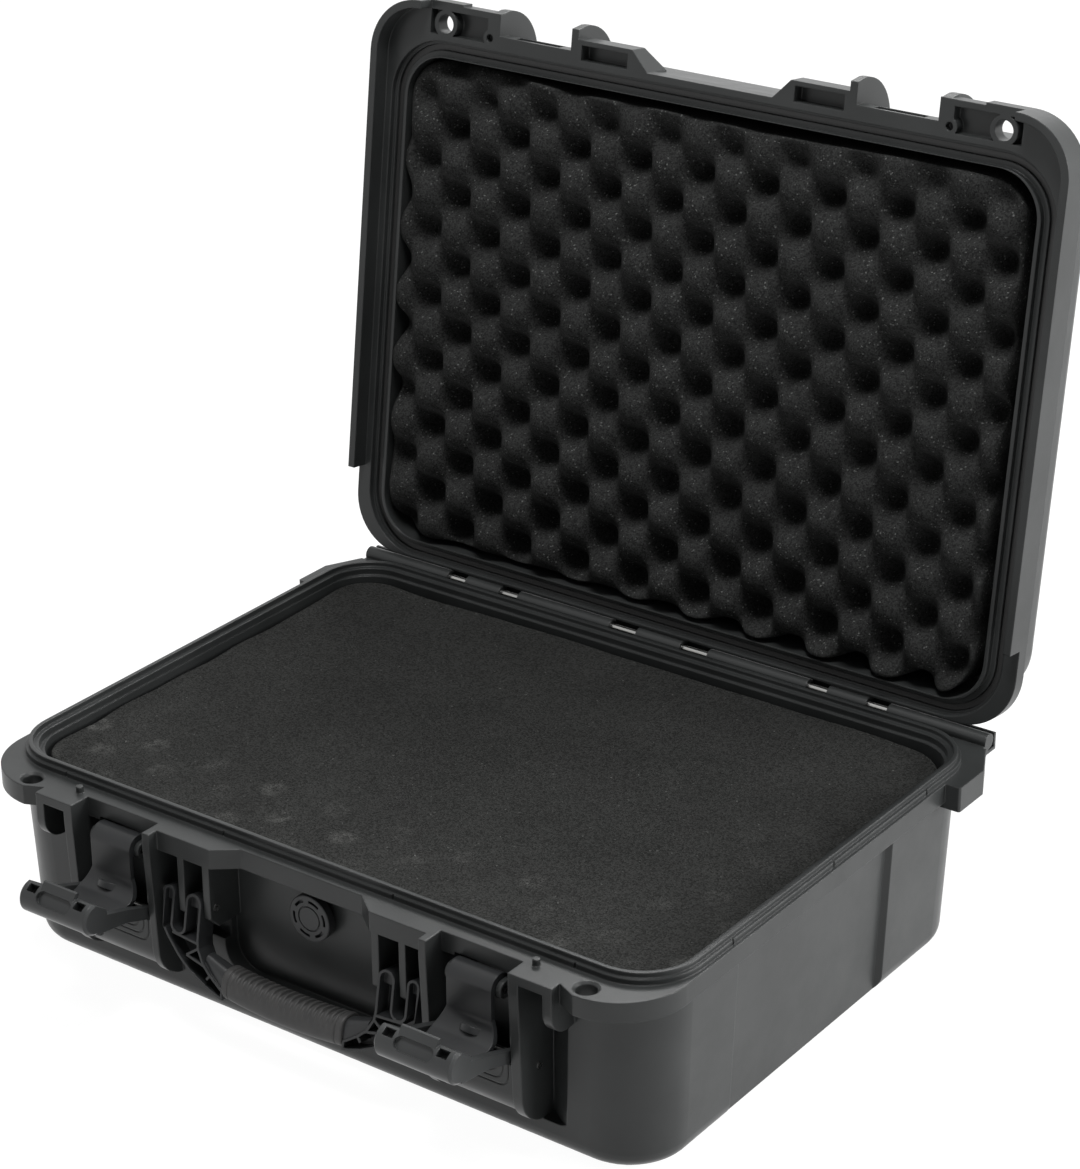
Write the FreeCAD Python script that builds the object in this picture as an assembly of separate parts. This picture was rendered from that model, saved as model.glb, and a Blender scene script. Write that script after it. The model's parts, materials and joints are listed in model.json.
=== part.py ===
import FreeCAD
import Part
import math
import os

# Microphone case: hard moulded shell with foam, hinged lid, two latches, handle and pressure valve.
# Millimetres. X is the width, +Y points to the hinge, +Z up.
# Origin: middle of the flat underside of the base.
# The case stands open, as photographed. Lid pieces are drawn closed and then turned open.

# Overall sizes of the base
case_half = 250.0            # half width over the lid's lower band
base_height = 120.0          # underside to the joint plane, where the flange ends
front_to_hinge = 363.0       # padlock hole line to hinge axis
flange_inset = 9.0           # lid's side to the base flange's side
flange_half = case_half - flange_inset
flange_thick = 12.5
tub_inset = 4.0              # flange side to the tub wall under it
tub_draft = 5.0              # how far a side wall leans in towards the underside
tub_half_top = flange_half - tub_inset
tub_half_bottom = tub_half_top - tub_draft
tub_front_top = 8.0          # tub front wall, behind the padlock line
tub_front_bottom = 10.5
tub_back_gap = 11.0          # hinge axis to the tub's back wall
tub_corner = 38.0
tub_bottom_round = 12.0
floor_thick = 4.0
side_wall = 7.0              # flange side of the tub to the cavity
front_wall = 15.5            # tub front to the cavity
back_wall = 8.0
cavity_corner = 30.0

# Where the front hardware stands, measured from the line of padlock holes
back_shift = 6.0             # hinge axis behind the middle of the two lines
hinge_y = front_to_hinge / 2 + back_shift
front_line = hinge_y - front_to_hinge
joint_z = base_height
hinge_rise = 1.5
hinge_z = joint_z + hinge_rise
lid_open_deg = 97.5

# Flange outline
ear_front = -10.0            # front of the padlock ears, from the padlock line
ear_round = 43.0
ear_notch = -4.5             # step between the ear and its post
flange_back_gap = 6.0        # hinge axis to the flange's back edge
flange_back_round = 12.0
mid_front = 6.0              # recessed stretch between the handle brackets
bump_front = -5.0            # bracket bumps
fin_front = -12.0
lug_reach = 10.0             # hinge lug beyond the flange side
lug_front_gap = 59.0
lug_back_gap = 31.0
lug_depth = 16.0
lug_chamfer = 12.0

# Rim that enters the lid
rim_front = 12.0
rim_side_gap = 2.0
rim_back_gap = 9.0           # hinge axis to the rim's outer face
rim_step_high = 3.5
rim_width = 8.0
rim_corner = 38.0
tongue_high = 3.0
tongue_inset = 2.0
tongue_wide = 2.6
notch_wide = 1.2
notch_deep = 1.0
notch_front_shares = (-0.92, -0.307, 0.307, 0.92)    # of the padlock holes' distance from the middle
notch_side_shares = (0.2, 0.5, 0.8)                  # of the rim's depth

# Padlock holes and alignment pegs
padlock_place_share = 0.8    # of the case's half width
peg_place_share = 0.66
padlock_x = padlock_place_share * case_half
padlock_r = 6.0
padlock_bevel = 1.5
peg_x = peg_place_share * case_half
peg_y = 3.5
peg_r = 2.2
peg_high = 4.0
peg_play = 0.3

# Recessed panels in the side walls
panel_front = 90.0           # from the padlock line
panel_long = 161.0
panel_deep = 4.0
panel_slope = 4.0

# Latch housings
latch_place_share = 0.52     # of the case's half width
latch_x = latch_place_share * case_half
pocket_half = 27.5
pocket_lip_y = 2.0           # back edge of the pocket in the flange
pocket_back = 19.5
pocket_floor = 73.0          # below the joint plane
inner_fin = 5.0
outer_fin = 6.5
fin_lean = 3.0               # how far a fin's front leans back on its way down
fin_drop = 78.0
fin_bottom = 101.0
panel_y = -7.0
panel_top = 61.0
panel_thick = 3.0
panel_drop = 80.0
panel_bottom = 97.0
panel_line_deep = 0.5
panel_line_wide = 0.8
panel_line_gap = 3.6
panel_lines = 4
panel_round = 7.0
scoop_r = 10.0
scoop_inset = 6.0
post_place_share = 0.732     # of the case's half width
post_x = post_place_share * case_half
post_half = 3.0
post_drop = 17.0
post_bottom = 31.5
nook_y = 20.0                # deepest place of the nook between post and fin
nook_top = 5.7
nook_reach = 3.0             # beyond the post's inner face
nook_round = 9.0

# Handle brackets and handle
bracket_deep = 15.0          # recess behind the handle arms
bracket_drop = 66.0
housing_in = latch_x - pocket_half - inner_fin
mid_rib_gap = 17.0           # latch housing to the middle of this rib
mid_rib_x = housing_in - mid_rib_gap
mid_rib_half = 2.3
mid_rib_drop = 54.0
inner_rib_gap = 36.0
inner_rib_x = housing_in - inner_rib_gap
inner_rib_half = 2.5
inner_rib_drop = 53.0
rib_chamfer = 7.0
handle_pin_y = 0.0
handle_pin_drop = 40.0
handle_pin_r = 2.0
handle_tilt_deg = 10.6
arm_side_gap = 4.2           # arm to the latch housing
arm_wide = 28.7
arm_outer = housing_in - arm_side_gap
arm_inner = arm_outer - arm_wide
bump_lip = 1.0               # bracket bump beyond its inner rib
bump_slant = 14.0
bump_start = inner_rib_x - inner_rib_half - bump_lip
mid_half = bump_start - bump_slant
arm_low = 50.6               # lowest point of an arm, below the pin
arm_wall = 1.5
arm_front = 7.0
arm_back = 5.5
arm_web = 3.0
pin_cover = 1.2
loop_rise = 6.3
slot_half = 4.3
slot_drop = 20.0
grip_end_gap = 49.3          # grip's end to the arm's outer side
grip_half_long = arm_outer - grip_end_gap
grip_drop = 41.5
grip_high = 20.0
grip_deep = 19.0
grip_bow = 2.5
core_high = 12.0
core_deep = 11.0
grip_ribs = 17
grip_rib_deep = 1.2
grip_collar = 5.0
grip_round_share = 0.42      # corner radius, of the section's lesser size
grip_stations = 9
cuff_gap = 3.5               # arm's inner rim to the end of the cuff

# Recess for the pressure valve
valve_recess_lap = 0.5       # past the middle of the inner rib
valve_recess_half = inner_rib_x + valve_recess_lap
valve_recess_y = 20.0
valve_recess_drop = 88.0
valve_recess_round = 18.0
valve_drop = 33.0
valve_knob_r = 14.5
valve_knob_y = 12.0
valve_knob_thick = 5.0
valve_disc_r = 7.5
valve_disc_deep = 0.8
valve_slots = 6
valve_slot_r = 11.0
valve_slot_wide = 1.6
valve_slot_deg = 38.0
valve_hub_r = 4.0
valve_hub_long = 3.0
valve_flange_r = 11.0
valve_flange_thick = 1.5
valve_seal_thick = 1.0
valve_seal_wide = 3.0
valve_stem_r = 6.0
valve_stem_play = 0.2
valve_nut_across = 17.0
valve_nut_thick = 3.0
valve_stem_out = 1.0
valve_membrane_r = 4.0
valve_membrane_thick = 0.8
valve_bore_r = 2.5

# Latch hook frame: cross bar and two arms on one pin
hook_pin_y = 7.0
hook_pin_drop = 65.0
hook_pin_r = 2.0
bar_y = -51.0
bar_drop = 39.0
bar_r = 10.0
bar_closed_y = -6.5
bar_flat = 7.2
bar_back = 7.2
bar_end_round = 1.5
arm_thick = 4.6
arm_gap = 1.5                # between an arm and its fin
eye_r = 6.0
hook_under_shares = ((0, -1), (2.4, -1.36))              # arm's underside: of the bar's radius, about its middle
hook_eye_shares = ((-0.3, -0.9), (0, 0), (0.7, 0.7), (-1.8, 2))    # of the eye's radius, about the pin
hook_over_shares = ((2.6, -0.6), (0.9, -0.1), (0, 0))    # arm's upper side: of the bar's radius
bar_hollow_start_share = 0.15    # of the bar's radius
bar_hollow_half_share = 0.45
bar_recess_half = 9.0
bar_recess_r = 4.0
bar_recess_deep = 2.5
bar_recess_deg = 142.0
bar_slot_long = 7.0
bar_slot_wide = 5.0
bar_slot_deep = 6.0
bar_slot_inset = 8.0
bar_slot_deg = 122.0
tongue_room = 15.0           # fin to the side of the bar's tongue
tongue_half = pocket_half - tongue_room
tongue_tip = 10.6
tongue_top = 9.0
tongue_thick = 2.6
tongue_root_share = 0.5      # of the bar's radius

# Latch lever: curved plate on its own pin at the top of the pocket
lever_pin_y = -2.0
lever_pin_drop = 18.7
lever_pin_r = 2.5
lever_hub_r = 5.6
lever_room = 12.5            # fin to the lever's side
lever_half = pocket_half - lever_room
lever_r = 8.5
lever_thick = 3.0
lever_straight = 17.0
lever_bend_r = 12.0
lever_bend_deg = 72.0
lever_flare_long = 18.5
lever_flare_extra = 4.7
lever_curl_deg = 20.0
lever_clear = 0.8            # round the lever's curl
ear_thick = 3.3
lever_ear_r = 5.0
lever_side_gap = 0.4
bump_shift = 2.5             # bump's middle beyond the latch's middle
bump_x = latch_x + bump_shift
bump_half = 7.5
bump_high = 3.0
bump_thick = 4.0
bump_sink = 1.0
bump_deg = 30.0

# Lid shell
lid_high = 50.0
joint_gap = 0.6
lid_half = case_half
lid_front = -14.0
lid_corner = 36.0
lid_back_gap = 6.0           # hinge axis to the lid band's back edge
lid_band = 10.0
lid_body_inset = 8.0         # lid's band to the lid's body
lid_body_draft = 4.0
lid_body_half = lid_half - lid_body_inset
lid_body_half_top = lid_body_half - lid_body_draft
lid_body_front = 6.5
lid_body_front_top = 9.0
lid_body_back_gap = 11.0
lid_body_back_gap_top = 14.0
lid_body_corner = 34.0
lid_top_round = 12.0
lid_top_thick = 4.0
lid_wall = 14.5              # side of the lid's body to its cavity
lid_wall_x = lid_body_half - lid_wall
lid_wall_front = 21.5
lid_wall_back_gap = 19.0
lid_cavity_corner = 28.0
skirt_thick = 5.0
skirt_drop = 12.0
skirt_end_gap = 61.0         # hinge axis to the skirt's back end
skirt_long = 38.0            # along the front, from the lid's side
skirt_start_x = lid_half - skirt_long
channel_play = 1.0
groove_play = 0.8
groove_high = 8.4
seal_thick = 1.8
seal_play = 0.2
cover_play = 1.0             # lid's cover beyond the bracket under it
cover_end = housing_in
cover_front = bump_front - cover_play
cover_start = bump_start - cover_play
cover_mid = mid_half + cover_play
cover_high = 14.0
cover_slope = 10.0
cover_wall = 3.0
cover_cavity_high = 9.0
lid_fin_high = 42.0
lid_fin_front = -12.0
lid_fin_bulge = 1.8
lid_fin_bend_share = 0.25    # where the round of a lid fin stands, of its depth and height
block_front = -12.5
block_end = post_x + post_half + cover_play
keeper_y = 1.5
keeper_lip = 2.4
keeper_groove_y = 5.2
keeper_groove_top = 9.2
keeper_room = 4.5            # beside the bar's tongue
keeper_groove_half = tongue_half + keeper_room
boss_wall = 3.0
peg_boss_wall = 2.6
ear_cavity_high = 7.0
ear_cavity_wall = 4.0

# Hinge
barrel_r = 5.0
hinge_pin_r = 2.5
fixed_play = 0.02
running_play = 0.06
outer_barrel_shares = (0.674, 0.948)     # of the case's half width
inner_barrel_shares = (0.15, 0.444)
knuckle_shares = (0.5032, 0.6148)
knuckle_mid_share = 0.068
pin_seat = 12.0
guard_play = 1.0             # round the knuckles
guard_thick = 2.0
guard_reach = 6.3            # hinge axis to the guard's inner face
guard_high = 3.0             # above the hinge axis

# Foam
foam_play = 0.5
foam_top_drop = 4.5
foam_top_thick = 35.0
foam_bottom_thick = 12.0
foam_notch_play = 1.0
crate_pitch_x = 48.6
crate_pitch_y = 43.4
crate_shift_x = -6.7         # peak nearest the middle, in the row nearest the front
crate_first_y = 46.0         # that row, from the padlock line
crate_gap = 2.5              # pad's sides to the lid's walls
crate_slab = 25.0
crate_peak_high = 24.5
crate_peak_r = 13.6
crate_peak_top_r = 5.5
crate_edge = 0.3             # foot of a peak to the pad's edge

# Overrun of every cutting tool past the face it cuts, and how near an edge counts as on a plane
over = 1.0
near = 0.01

vec = FreeCAD.Vector
x_axis = vec(1, 0, 0)
y_axis = vec(0, 1, 0)
z_axis = vec(0, 0, 1)
origin = vec(0, 0, 0)


# Basic solids

def box(x0, x1, y0, y1, z0, z1):
    """Block between two corners."""
    return Part.makeBox(x1 - x0, y1 - y0, z1 - z0, vec(x0, y0, z0))


def rod_x(radius, x0, x1, y, z):
    """Cylinder along X."""
    return Part.makeCylinder(radius, x1 - x0, vec(x0, y, z), x_axis)


def rod_y(radius, y0, y1, x, z):
    """Cylinder along Y."""
    return Part.makeCylinder(radius, y1 - y0, vec(x, y0, z), y_axis)


def rod_z(radius, z0, z1, x, y):
    """Cylinder along Z."""
    return Part.makeCylinder(radius, z1 - z0, vec(x, y, z0), z_axis)


def face_of(points):
    """Flat face inside a closed polygon."""
    return Part.Face(Part.makePolygon(points + [points[0]]))


def prism_x(outline, x0, x1):
    """Outline of (y, z) points carried along X."""
    return face_of([vec(x0, y, z) for y, z in outline]).extrude(vec(x1 - x0, 0, 0))


def prism_y(outline, y0, y1):
    """Outline of (x, z) points carried along Y."""
    return face_of([vec(x, y0, z) for x, z in outline]).extrude(vec(0, y1 - y0, 0))


def prism_z(outline, z0, z1):
    """Outline of (x, y) points carried along Z."""
    return face_of([vec(x, y, z0) for x, y in outline]).extrude(vec(0, 0, z1 - z0))


def rounded_wire(half, y0, y1, radius, z):
    """Rectangle with round corners, centred on X = 0."""
    r = radius
    k = r * math.sqrt(0.5)
    edges = []
    corners = [(half - r, y0 + r, 1, -1), (half - r, y1 - r, 1, 1),
               (r - half, y1 - r, -1, 1), (r - half, y0 + r, -1, -1)]
    starts = [vec(half - r, y0, z), vec(half, y1 - r, z), vec(r - half, y1, z), vec(-half, y0 + r, z)]
    ends = [vec(half, y0 + r, z), vec(half - r, y1, z), vec(-half, y1 - r, z), vec(r - half, y0, z)]
    for index, (cx, cy, sx, sy) in enumerate(corners):
        middle = vec(cx + sx * k, cy + sy * k, z)
        edges.append(Part.LineSegment(ends[index - 1], starts[index]).toShape())
        edges.append(Part.Arc(starts[index], middle, ends[index]).toShape())
    return Part.Wire(edges)


def rounded_plate(half, y0, y1, radius, z0, z1):
    """Prism with round vertical corners."""
    wire = rounded_wire(half, y0, y1, radius, z0)
    return Part.Face(wire).extrude(vec(0, 0, z1 - z0))


def drafted_body(low, high, z0, z1):
    """Body between two rounded rectangles, each (half, y0, y1, radius)."""
    return Part.makeLoft([rounded_wire(*low, z0), rounded_wire(*high, z1)], True, True)


def ring(outer, inner, z0, z1):
    """Wall between two rounded rectangles, each (half, y0, y1, radius)."""
    tall_inner = rounded_plate(*inner, z0 - over, z1 + over)
    return rounded_plate(*outer, z0, z1).cut(tall_inner)


def inset(outline, gap):
    """Rounded rectangle drawn in by a gap."""
    half, y0, y1, radius = outline
    return (half - gap, y0 + gap, y1 - gap, radius - gap)


def mirrored(shape):
    """Copy on the other side of the middle plane."""
    return shape.mirror(origin, x_axis)


def both_sides(shape):
    """Shape and its mirror image."""
    return [shape, mirrored(shape)]


def joined(shapes):
    """One solid out of touching solids."""
    whole = shapes[0].multiFuse(shapes[1:]) if len(shapes) > 1 else shapes[0]
    return whole.removeSplitter()


def turned_x(shape, y, z, degrees):
    """Copy turned about an axis along X."""
    copy = shape.copy()
    copy.rotate(vec(0, y, z), x_axis, degrees)
    return copy


def at_front(distance):
    """Y of a place measured from the padlock line."""
    return front_line + distance


def below_joint(drop):
    """Z of a place measured down from the joint plane."""
    return joint_z - drop


def between(low, high, share):
    """Outline part of the way from one rounded rectangle to another."""
    return tuple(a + (b - a) * share for a, b in zip(low, high))


def edges_at(shape, test):
    """Edges whose middle passes a test."""
    return [edge for edge in shape.Edges if test(edge.CenterOfMass)]


# Outlines that several pieces share

tub_top = (tub_half_top, at_front(tub_front_top), hinge_y - tub_back_gap, tub_corner)
tub_low = (tub_half_bottom, at_front(tub_front_bottom), hinge_y - tub_back_gap
           - (tub_front_bottom - tub_front_top), tub_corner)
rim_outer = (flange_half - rim_side_gap, at_front(rim_front), hinge_y - rim_back_gap, rim_corner)
cavity = (tub_half_top - side_wall, at_front(tub_front_top + front_wall),
          hinge_y - tub_back_gap - back_wall, cavity_corner)
cavity_low = (tub_half_bottom - side_wall, cavity[1], cavity[2], cavity_corner)
pocket_in = latch_x - pocket_half
pocket_out = latch_x + pocket_half
housing_out = pocket_out + outer_fin
outer_barrel = [share * case_half for share in outer_barrel_shares]
inner_barrel = [share * case_half for share in inner_barrel_shares]
knuckle_side = [share * case_half for share in knuckle_shares]
knuckle_mid_half = knuckle_mid_share * case_half
hook_pin = (at_front(hook_pin_y), below_joint(hook_pin_drop))
bar_rest = (at_front(bar_y), below_joint(bar_drop))
lever_pin = (at_front(lever_pin_y), below_joint(lever_pin_drop))
handle_pin = (at_front(handle_pin_y), below_joint(handle_pin_drop))
valve_z = below_joint(valve_drop)

# The hook frame swings about its pin until the bar's centre reaches bar_closed_y
hook_arm = math.hypot(bar_rest[0] - hook_pin[0], bar_rest[1] - hook_pin[1])
hook_rest_deg = math.degrees(math.atan2(bar_rest[1] - hook_pin[1], bar_rest[0] - hook_pin[0]))
hook_closed_deg = math.degrees(math.acos((bar_closed_y - hook_pin_y) / hook_arm))
hook_swing_deg = hook_rest_deg - hook_closed_deg
bar_closed = (at_front(bar_closed_y), hook_pin[1] + hook_arm * math.sin(math.radians(hook_closed_deg)))


# Base shell

def flange_outline():
    """Right half of the base flange seen from above, from the middle outwards."""
    ear_centre = (flange_half - ear_round, at_front(ear_front) + ear_round)
    points = [(0, at_front(mid_front)), (mid_half, at_front(mid_front)),
              (bump_start, at_front(bump_front)), (housing_in, at_front(bump_front)),
              (housing_in, at_front(fin_front)), (post_x + post_half, at_front(fin_front)),
              (post_x + post_half, at_front(ear_notch)), (ear_centre[0], at_front(ear_front))]
    side = [(flange_half, ear_centre[1]), (flange_half, hinge_y - flange_back_gap - flange_back_round),
            (flange_half - flange_back_round, hinge_y - flange_back_gap),
            (0, hinge_y - flange_back_gap)]
    return points, ear_centre, side


def half_flange(z0, z1):
    """Right half of the flange plate, with its round padlock ear."""
    points, centre, side = flange_outline()
    k = ear_round * math.sqrt(0.5)
    lines = [vec(x, y, z0) for x, y in points]
    after = [vec(x, y, z0) for x, y in side]
    edges = [Part.LineSegment(a, b).toShape() for a, b in zip(lines, lines[1:])]
    edges.append(Part.Arc(lines[-1], vec(centre[0] + k, centre[1] - k, z0), after[0]).toShape())
    edges += [Part.LineSegment(a, b).toShape() for a, b in zip(after, after[1:] + [lines[0]])]
    return Part.Face(Part.Wire(edges)).extrude(vec(0, 0, z1 - z0))


def fin_profile(front, lean, top, drop, bottom, back):
    """Side view of a fin: front that leans back, then a round sweep, then level to the wall behind."""
    y0 = at_front(front)
    z0 = below_joint(drop)
    z1 = below_joint(bottom)
    y1 = y0 + lean + z0 - z1
    k = math.sqrt(0.5)
    middle = vec(0, y1 - (z0 - z1) * k, z0 - (z0 - z1) * k)
    upright = [vec(0, y0, top), vec(0, y0 + lean, z0)]
    if lean:
        upright.insert(1, vec(0, y0, below_joint(flange_thick)))
    edges = [Part.LineSegment(a, b).toShape() for a, b in zip(upright, upright[1:])]
    edges.append(Part.Arc(upright[-1], middle, vec(0, y1, z1)).toShape())
    rest = [vec(0, y1, z1), vec(0, at_front(back), z1), vec(0, at_front(back), top), upright[0]]
    edges += [Part.LineSegment(a, b).toShape() for a, b in zip(rest, rest[1:])]
    return Part.Face(Part.Wire(edges))


def extruded_fin(profile, x0, x1):
    """Side-view face carried from x0 to x1."""
    face = profile.copy()
    face.translate(vec(x0, 0, 0))
    return face.extrude(vec(x1 - x0, 0, 0))


def latch_housing():
    """Two fins and the lower panel between them, right-hand side."""
    top = below_joint(flange_thick) + over
    fins = fin_profile(fin_front, fin_lean, top, fin_drop, fin_bottom, nook_y + over)
    panel = fin_profile(panel_y, 0, below_joint(panel_top), panel_drop, panel_bottom, nook_y)
    return [extruded_fin(fins, housing_in, pocket_in), extruded_fin(fins, pocket_out, housing_out),
            extruded_fin(panel, pocket_in - over, pocket_out + over)]


def latch_pocket():
    """Space cut out for one latch, right-hand side."""
    cut = [box(pocket_in, pocket_out, at_front(fin_front) - over, at_front(pocket_lip_y),
               below_joint(panel_top), joint_z + over),
           box(pocket_in, pocket_out, at_front(fin_front) - over, at_front(pocket_back),
               below_joint(panel_top), below_joint(flange_thick)),
           box(pocket_in, pocket_out, at_front(panel_y + panel_thick), at_front(pocket_back),
               below_joint(pocket_floor), below_joint(panel_top) + over)]
    reach = lever_half + lever_side_gap + ear_thick
    cut.append(rod_x(lever_r + lever_clear, latch_x - reach, latch_x + reach, *lever_pin))
    return cut


def panel_groove(gap):
    """Fine groove that follows the panel's sides and round lower corners at a distance, right-hand side."""
    y0 = at_front(panel_y) - over
    y1 = at_front(panel_y) + panel_line_deep
    blocks = []
    for step in (gap, gap + panel_line_wide):
        low = below_joint(panel_drop) + step
        block = box(pocket_in + step, pocket_out - step, y0 - step, y1 + step, low, joint_z)
        side = pocket_half - step
        corners = edges_at(block, lambda c: abs(c.z - low) < near and abs(abs(c.x - latch_x) - side) < near)
        blocks.append(block.makeFillet(panel_round, corners))
    keep = box(pocket_in, pocket_out, y0, y1, 0, below_joint(panel_top) + over)
    return blocks[0].cut(blocks[1]).common(keep)


def panel_marks(left):
    """Nested fine grooves on the lower panel and the round thumb recess at its left end."""
    marks = [panel_groove(panel_line_gap * (index + 1)) for index in range(panel_lines)]
    centre = -pocket_out + scoop_inset if left else pocket_in + scoop_inset
    if left:
        marks = [mirrored(mark) for mark in marks]
    scoop = Part.makeSphere(scoop_r, vec(centre, at_front(panel_y) - scoop_r / 2,
                                         below_joint(panel_drop)))
    return marks + [scoop]


def lever_ears():
    """Two ears on the pocket's back wall that carry the lever's pin, right-hand side."""
    y, z = lever_pin
    ears = []
    for inner in (latch_x - lever_half - lever_side_gap - ear_thick, latch_x + lever_half + lever_side_gap):
        arm = box(inner, inner + ear_thick, y, at_front(pocket_back) + over, z - lever_ear_r, z + lever_ear_r)
        ears.append(arm.fuse(rod_x(lever_ear_r, inner, inner + ear_thick, y, z)))
    return ears


def bracket_ribs():
    """Vertical ribs that carry the handle pin, right-hand side."""
    top = below_joint(flange_thick) + over
    ribs = []
    for x, half, drop in ((mid_rib_x, mid_rib_half, mid_rib_drop),
                          (inner_rib_x, inner_rib_half, inner_rib_drop)):
        front = at_front(bump_front)
        back = at_front(tub_front_bottom + bracket_deep)
        low = below_joint(drop)
        outline = [(front, top), (front, low + rib_chamfer), (front + rib_chamfer, low),
                   (back, low), (back, top)]
        ribs.append(prism_x(outline, x - half, x + half))
    return ribs


def ear_post():
    """Short round-footed post that stiffens a padlock ear, right-hand side."""
    side = fin_profile(fin_front, 0, below_joint(nook_top) + over, post_drop, post_bottom,
                       tub_front_bottom + over)
    return extruded_fin(side, post_x - post_half, post_x + post_half)


def post_nook():
    """Scooped nook between the outer fin and the ear post, deepest beside the fin, right-hand side."""
    x1 = post_x - post_half + nook_reach
    y0 = at_front(fin_front) - over
    back = at_front(nook_y)
    lip = at_front(tub_front_top)
    outline = [(housing_out, y0), (x1, y0), (x1, lip), (housing_out, back)]
    low = below_joint(fin_bottom)
    nook = prism_z(outline, low, below_joint(nook_top))
    foot = edges_at(nook, lambda c: abs(c.z - low) < near and abs(c.x - x1) < near)
    return nook.makeFillet(nook_round, foot)


def hinge_lug():
    """Deeper flange beside the hinge, right-hand side."""
    y0 = hinge_y - lug_front_gap
    y1 = hinge_y - lug_back_gap
    outer = flange_half + lug_reach
    inner = tub_half_bottom - tub_corner
    outline = [(inner, y0), (outer - over, y0), (outer, y0 + over), (outer, y1),
               (outer - lug_chamfer, y1 + 2 * lug_chamfer), (inner, y1 + 2 * lug_chamfer)]
    return prism_z(outline, below_joint(lug_depth), joint_z)


def base_barrels():
    """Hinge barrels of the base with the web that carries them, right-hand side."""
    parts = []
    edge = hinge_y - flange_back_gap
    for x0, x1 in (inner_barrel, outer_barrel):
        web = prism_x([(edge - over, below_joint(flange_thick)), (hinge_y, hinge_z - barrel_r),
                       (hinge_y, joint_z), (edge - over, joint_z)], x0, x1)
        parts.append(rod_x(barrel_r, x0, x1, hinge_y, hinge_z))
        parts.append(web)
    return parts


def hinge_guard():
    """Gutter of the base that runs under the hinge and up behind its pins, right-hand side."""
    edge = hinge_y - flange_back_gap
    inner = hinge_y + guard_reach
    outer = inner + guard_thick
    top = hinge_z - barrel_r - guard_play
    low = top - guard_thick
    outline = [(edge - over, low), (outer, low), (outer, hinge_z + guard_high), (inner, hinge_z + guard_high),
               (inner, top), (edge - over, top)]
    return prism_x(outline, 0, outer_barrel[1])


def side_panel():
    """Shallow recess in the right side wall, with sloping ends."""
    y0 = at_front(panel_front)
    y1 = y0 + panel_long
    reach = tub_half_top + over
    deep = tub_half_top - panel_deep
    lean = tub_half_top - tub_half_bottom
    low = [vec(deep - lean, y0 + panel_deep / 2, -over), vec(reach - lean + over, y0, -over),
           vec(reach - lean + over, y1 + panel_slope, -over), vec(deep - lean, y1, -over)]
    high = [vec(deep, y0 + panel_deep / 2, 0), vec(reach + over, y0, 0),
            vec(reach + over, y1 + panel_slope, 0), vec(deep, y1, 0)]
    top = below_joint(flange_thick)
    high = [vec(p.x, p.y, top) for p in high]
    return Part.makeLoft([Part.makePolygon(low + [low[0]]), Part.makePolygon(high + [high[0]])], True, True)


def valve_recess():
    """Recess of the front wall round the valve, with round lower corners."""
    low = below_joint(valve_recess_drop)
    top = below_joint(flange_thick)
    y0 = at_front(fin_front) - over
    y1 = at_front(valve_recess_y)
    block = box(-valve_recess_half, valve_recess_half, y0, y1, low, top)
    corners = edges_at(block, lambda c: abs(abs(c.x) - valve_recess_half) < near and abs(c.z - low) < near)
    return block.makeFillet(valve_recess_round, corners)


def rim_notches():
    """Fine notches across the rim's outer step."""
    cuts = []
    half, y0, y1, radius = rim_outer
    top = joint_z + rim_step_high
    for share in notch_front_shares:
        place = share * padlock_x
        cuts.append(box(place - notch_wide / 2, place + notch_wide / 2, y0 - over, y0 + notch_deep,
                        joint_z, top + over))
    for share in notch_side_shares:
        place = y0 + share * (y1 - y0)
        cut = box(half - notch_deep, half + over, place - notch_wide / 2, place + notch_wide / 2,
                  joint_z, top + over)
        cuts += both_sides(cut)
    return cuts


def make_base_shell():
    """The whole moulded base."""
    flange_low = below_joint(flange_thick)
    tub = drafted_body(tub_low, tub_top, 0, joint_z)
    bottom_edges = edges_at(tub, lambda c: abs(c.z) < near)
    tub = tub.makeFillet(tub_bottom_round, bottom_edges)
    tub = tub.cut(Part.makeCompound(both_sides(side_panel())))
    solids = [tub] + both_sides(half_flange(flange_low, joint_z))
    solids.append(ring(rim_outer, inset(rim_outer, rim_width), joint_z - over, joint_z + rim_step_high))
    tongue_outer = inset(rim_outer, tongue_inset)
    solids.append(ring(tongue_outer, inset(tongue_outer, tongue_wide), joint_z,
                       joint_z + rim_step_high + tongue_high))
    for part in latch_housing() + [hinge_lug(), hinge_guard()] + base_barrels():
        solids += both_sides(part)
    body = joined(solids)
    mouth = inset(rim_outer, rim_width)
    cuts = [drafted_body(cavity_low, cavity, floor_thick, joint_z),
            rounded_plate(*cavity, joint_z - over, joint_z + over),
            rounded_plate(*mouth, joint_z - over, joint_z + rim_step_high + over)]
    bracket = box(inner_rib_x - inner_rib_half, housing_in, at_front(fin_front) - over,
                  at_front(bracket_deep), below_joint(bracket_drop), flange_low)
    cuts.append(valve_recess())
    for part in latch_pocket() + [bracket, post_nook()]:
        cuts += both_sides(part)
    cuts += panel_marks(True) + panel_marks(False) + rim_notches()
    body = body.cut(Part.makeCompound(cuts))
    keep_front = box(-lid_half, lid_half, at_front(fin_front), at_front(pocket_back) + over, 0, joint_z)
    added = both_sides(ear_post())
    for part in bracket_ribs() + lever_ears():
        added += both_sides(part.common(keep_front))
    added += both_sides(rod_z(peg_r, joint_z - over, joint_z + peg_high, peg_x, at_front(peg_y)))
    body = joined([body] + added)
    return body.cut(Part.makeCompound(base_holes()))


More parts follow.
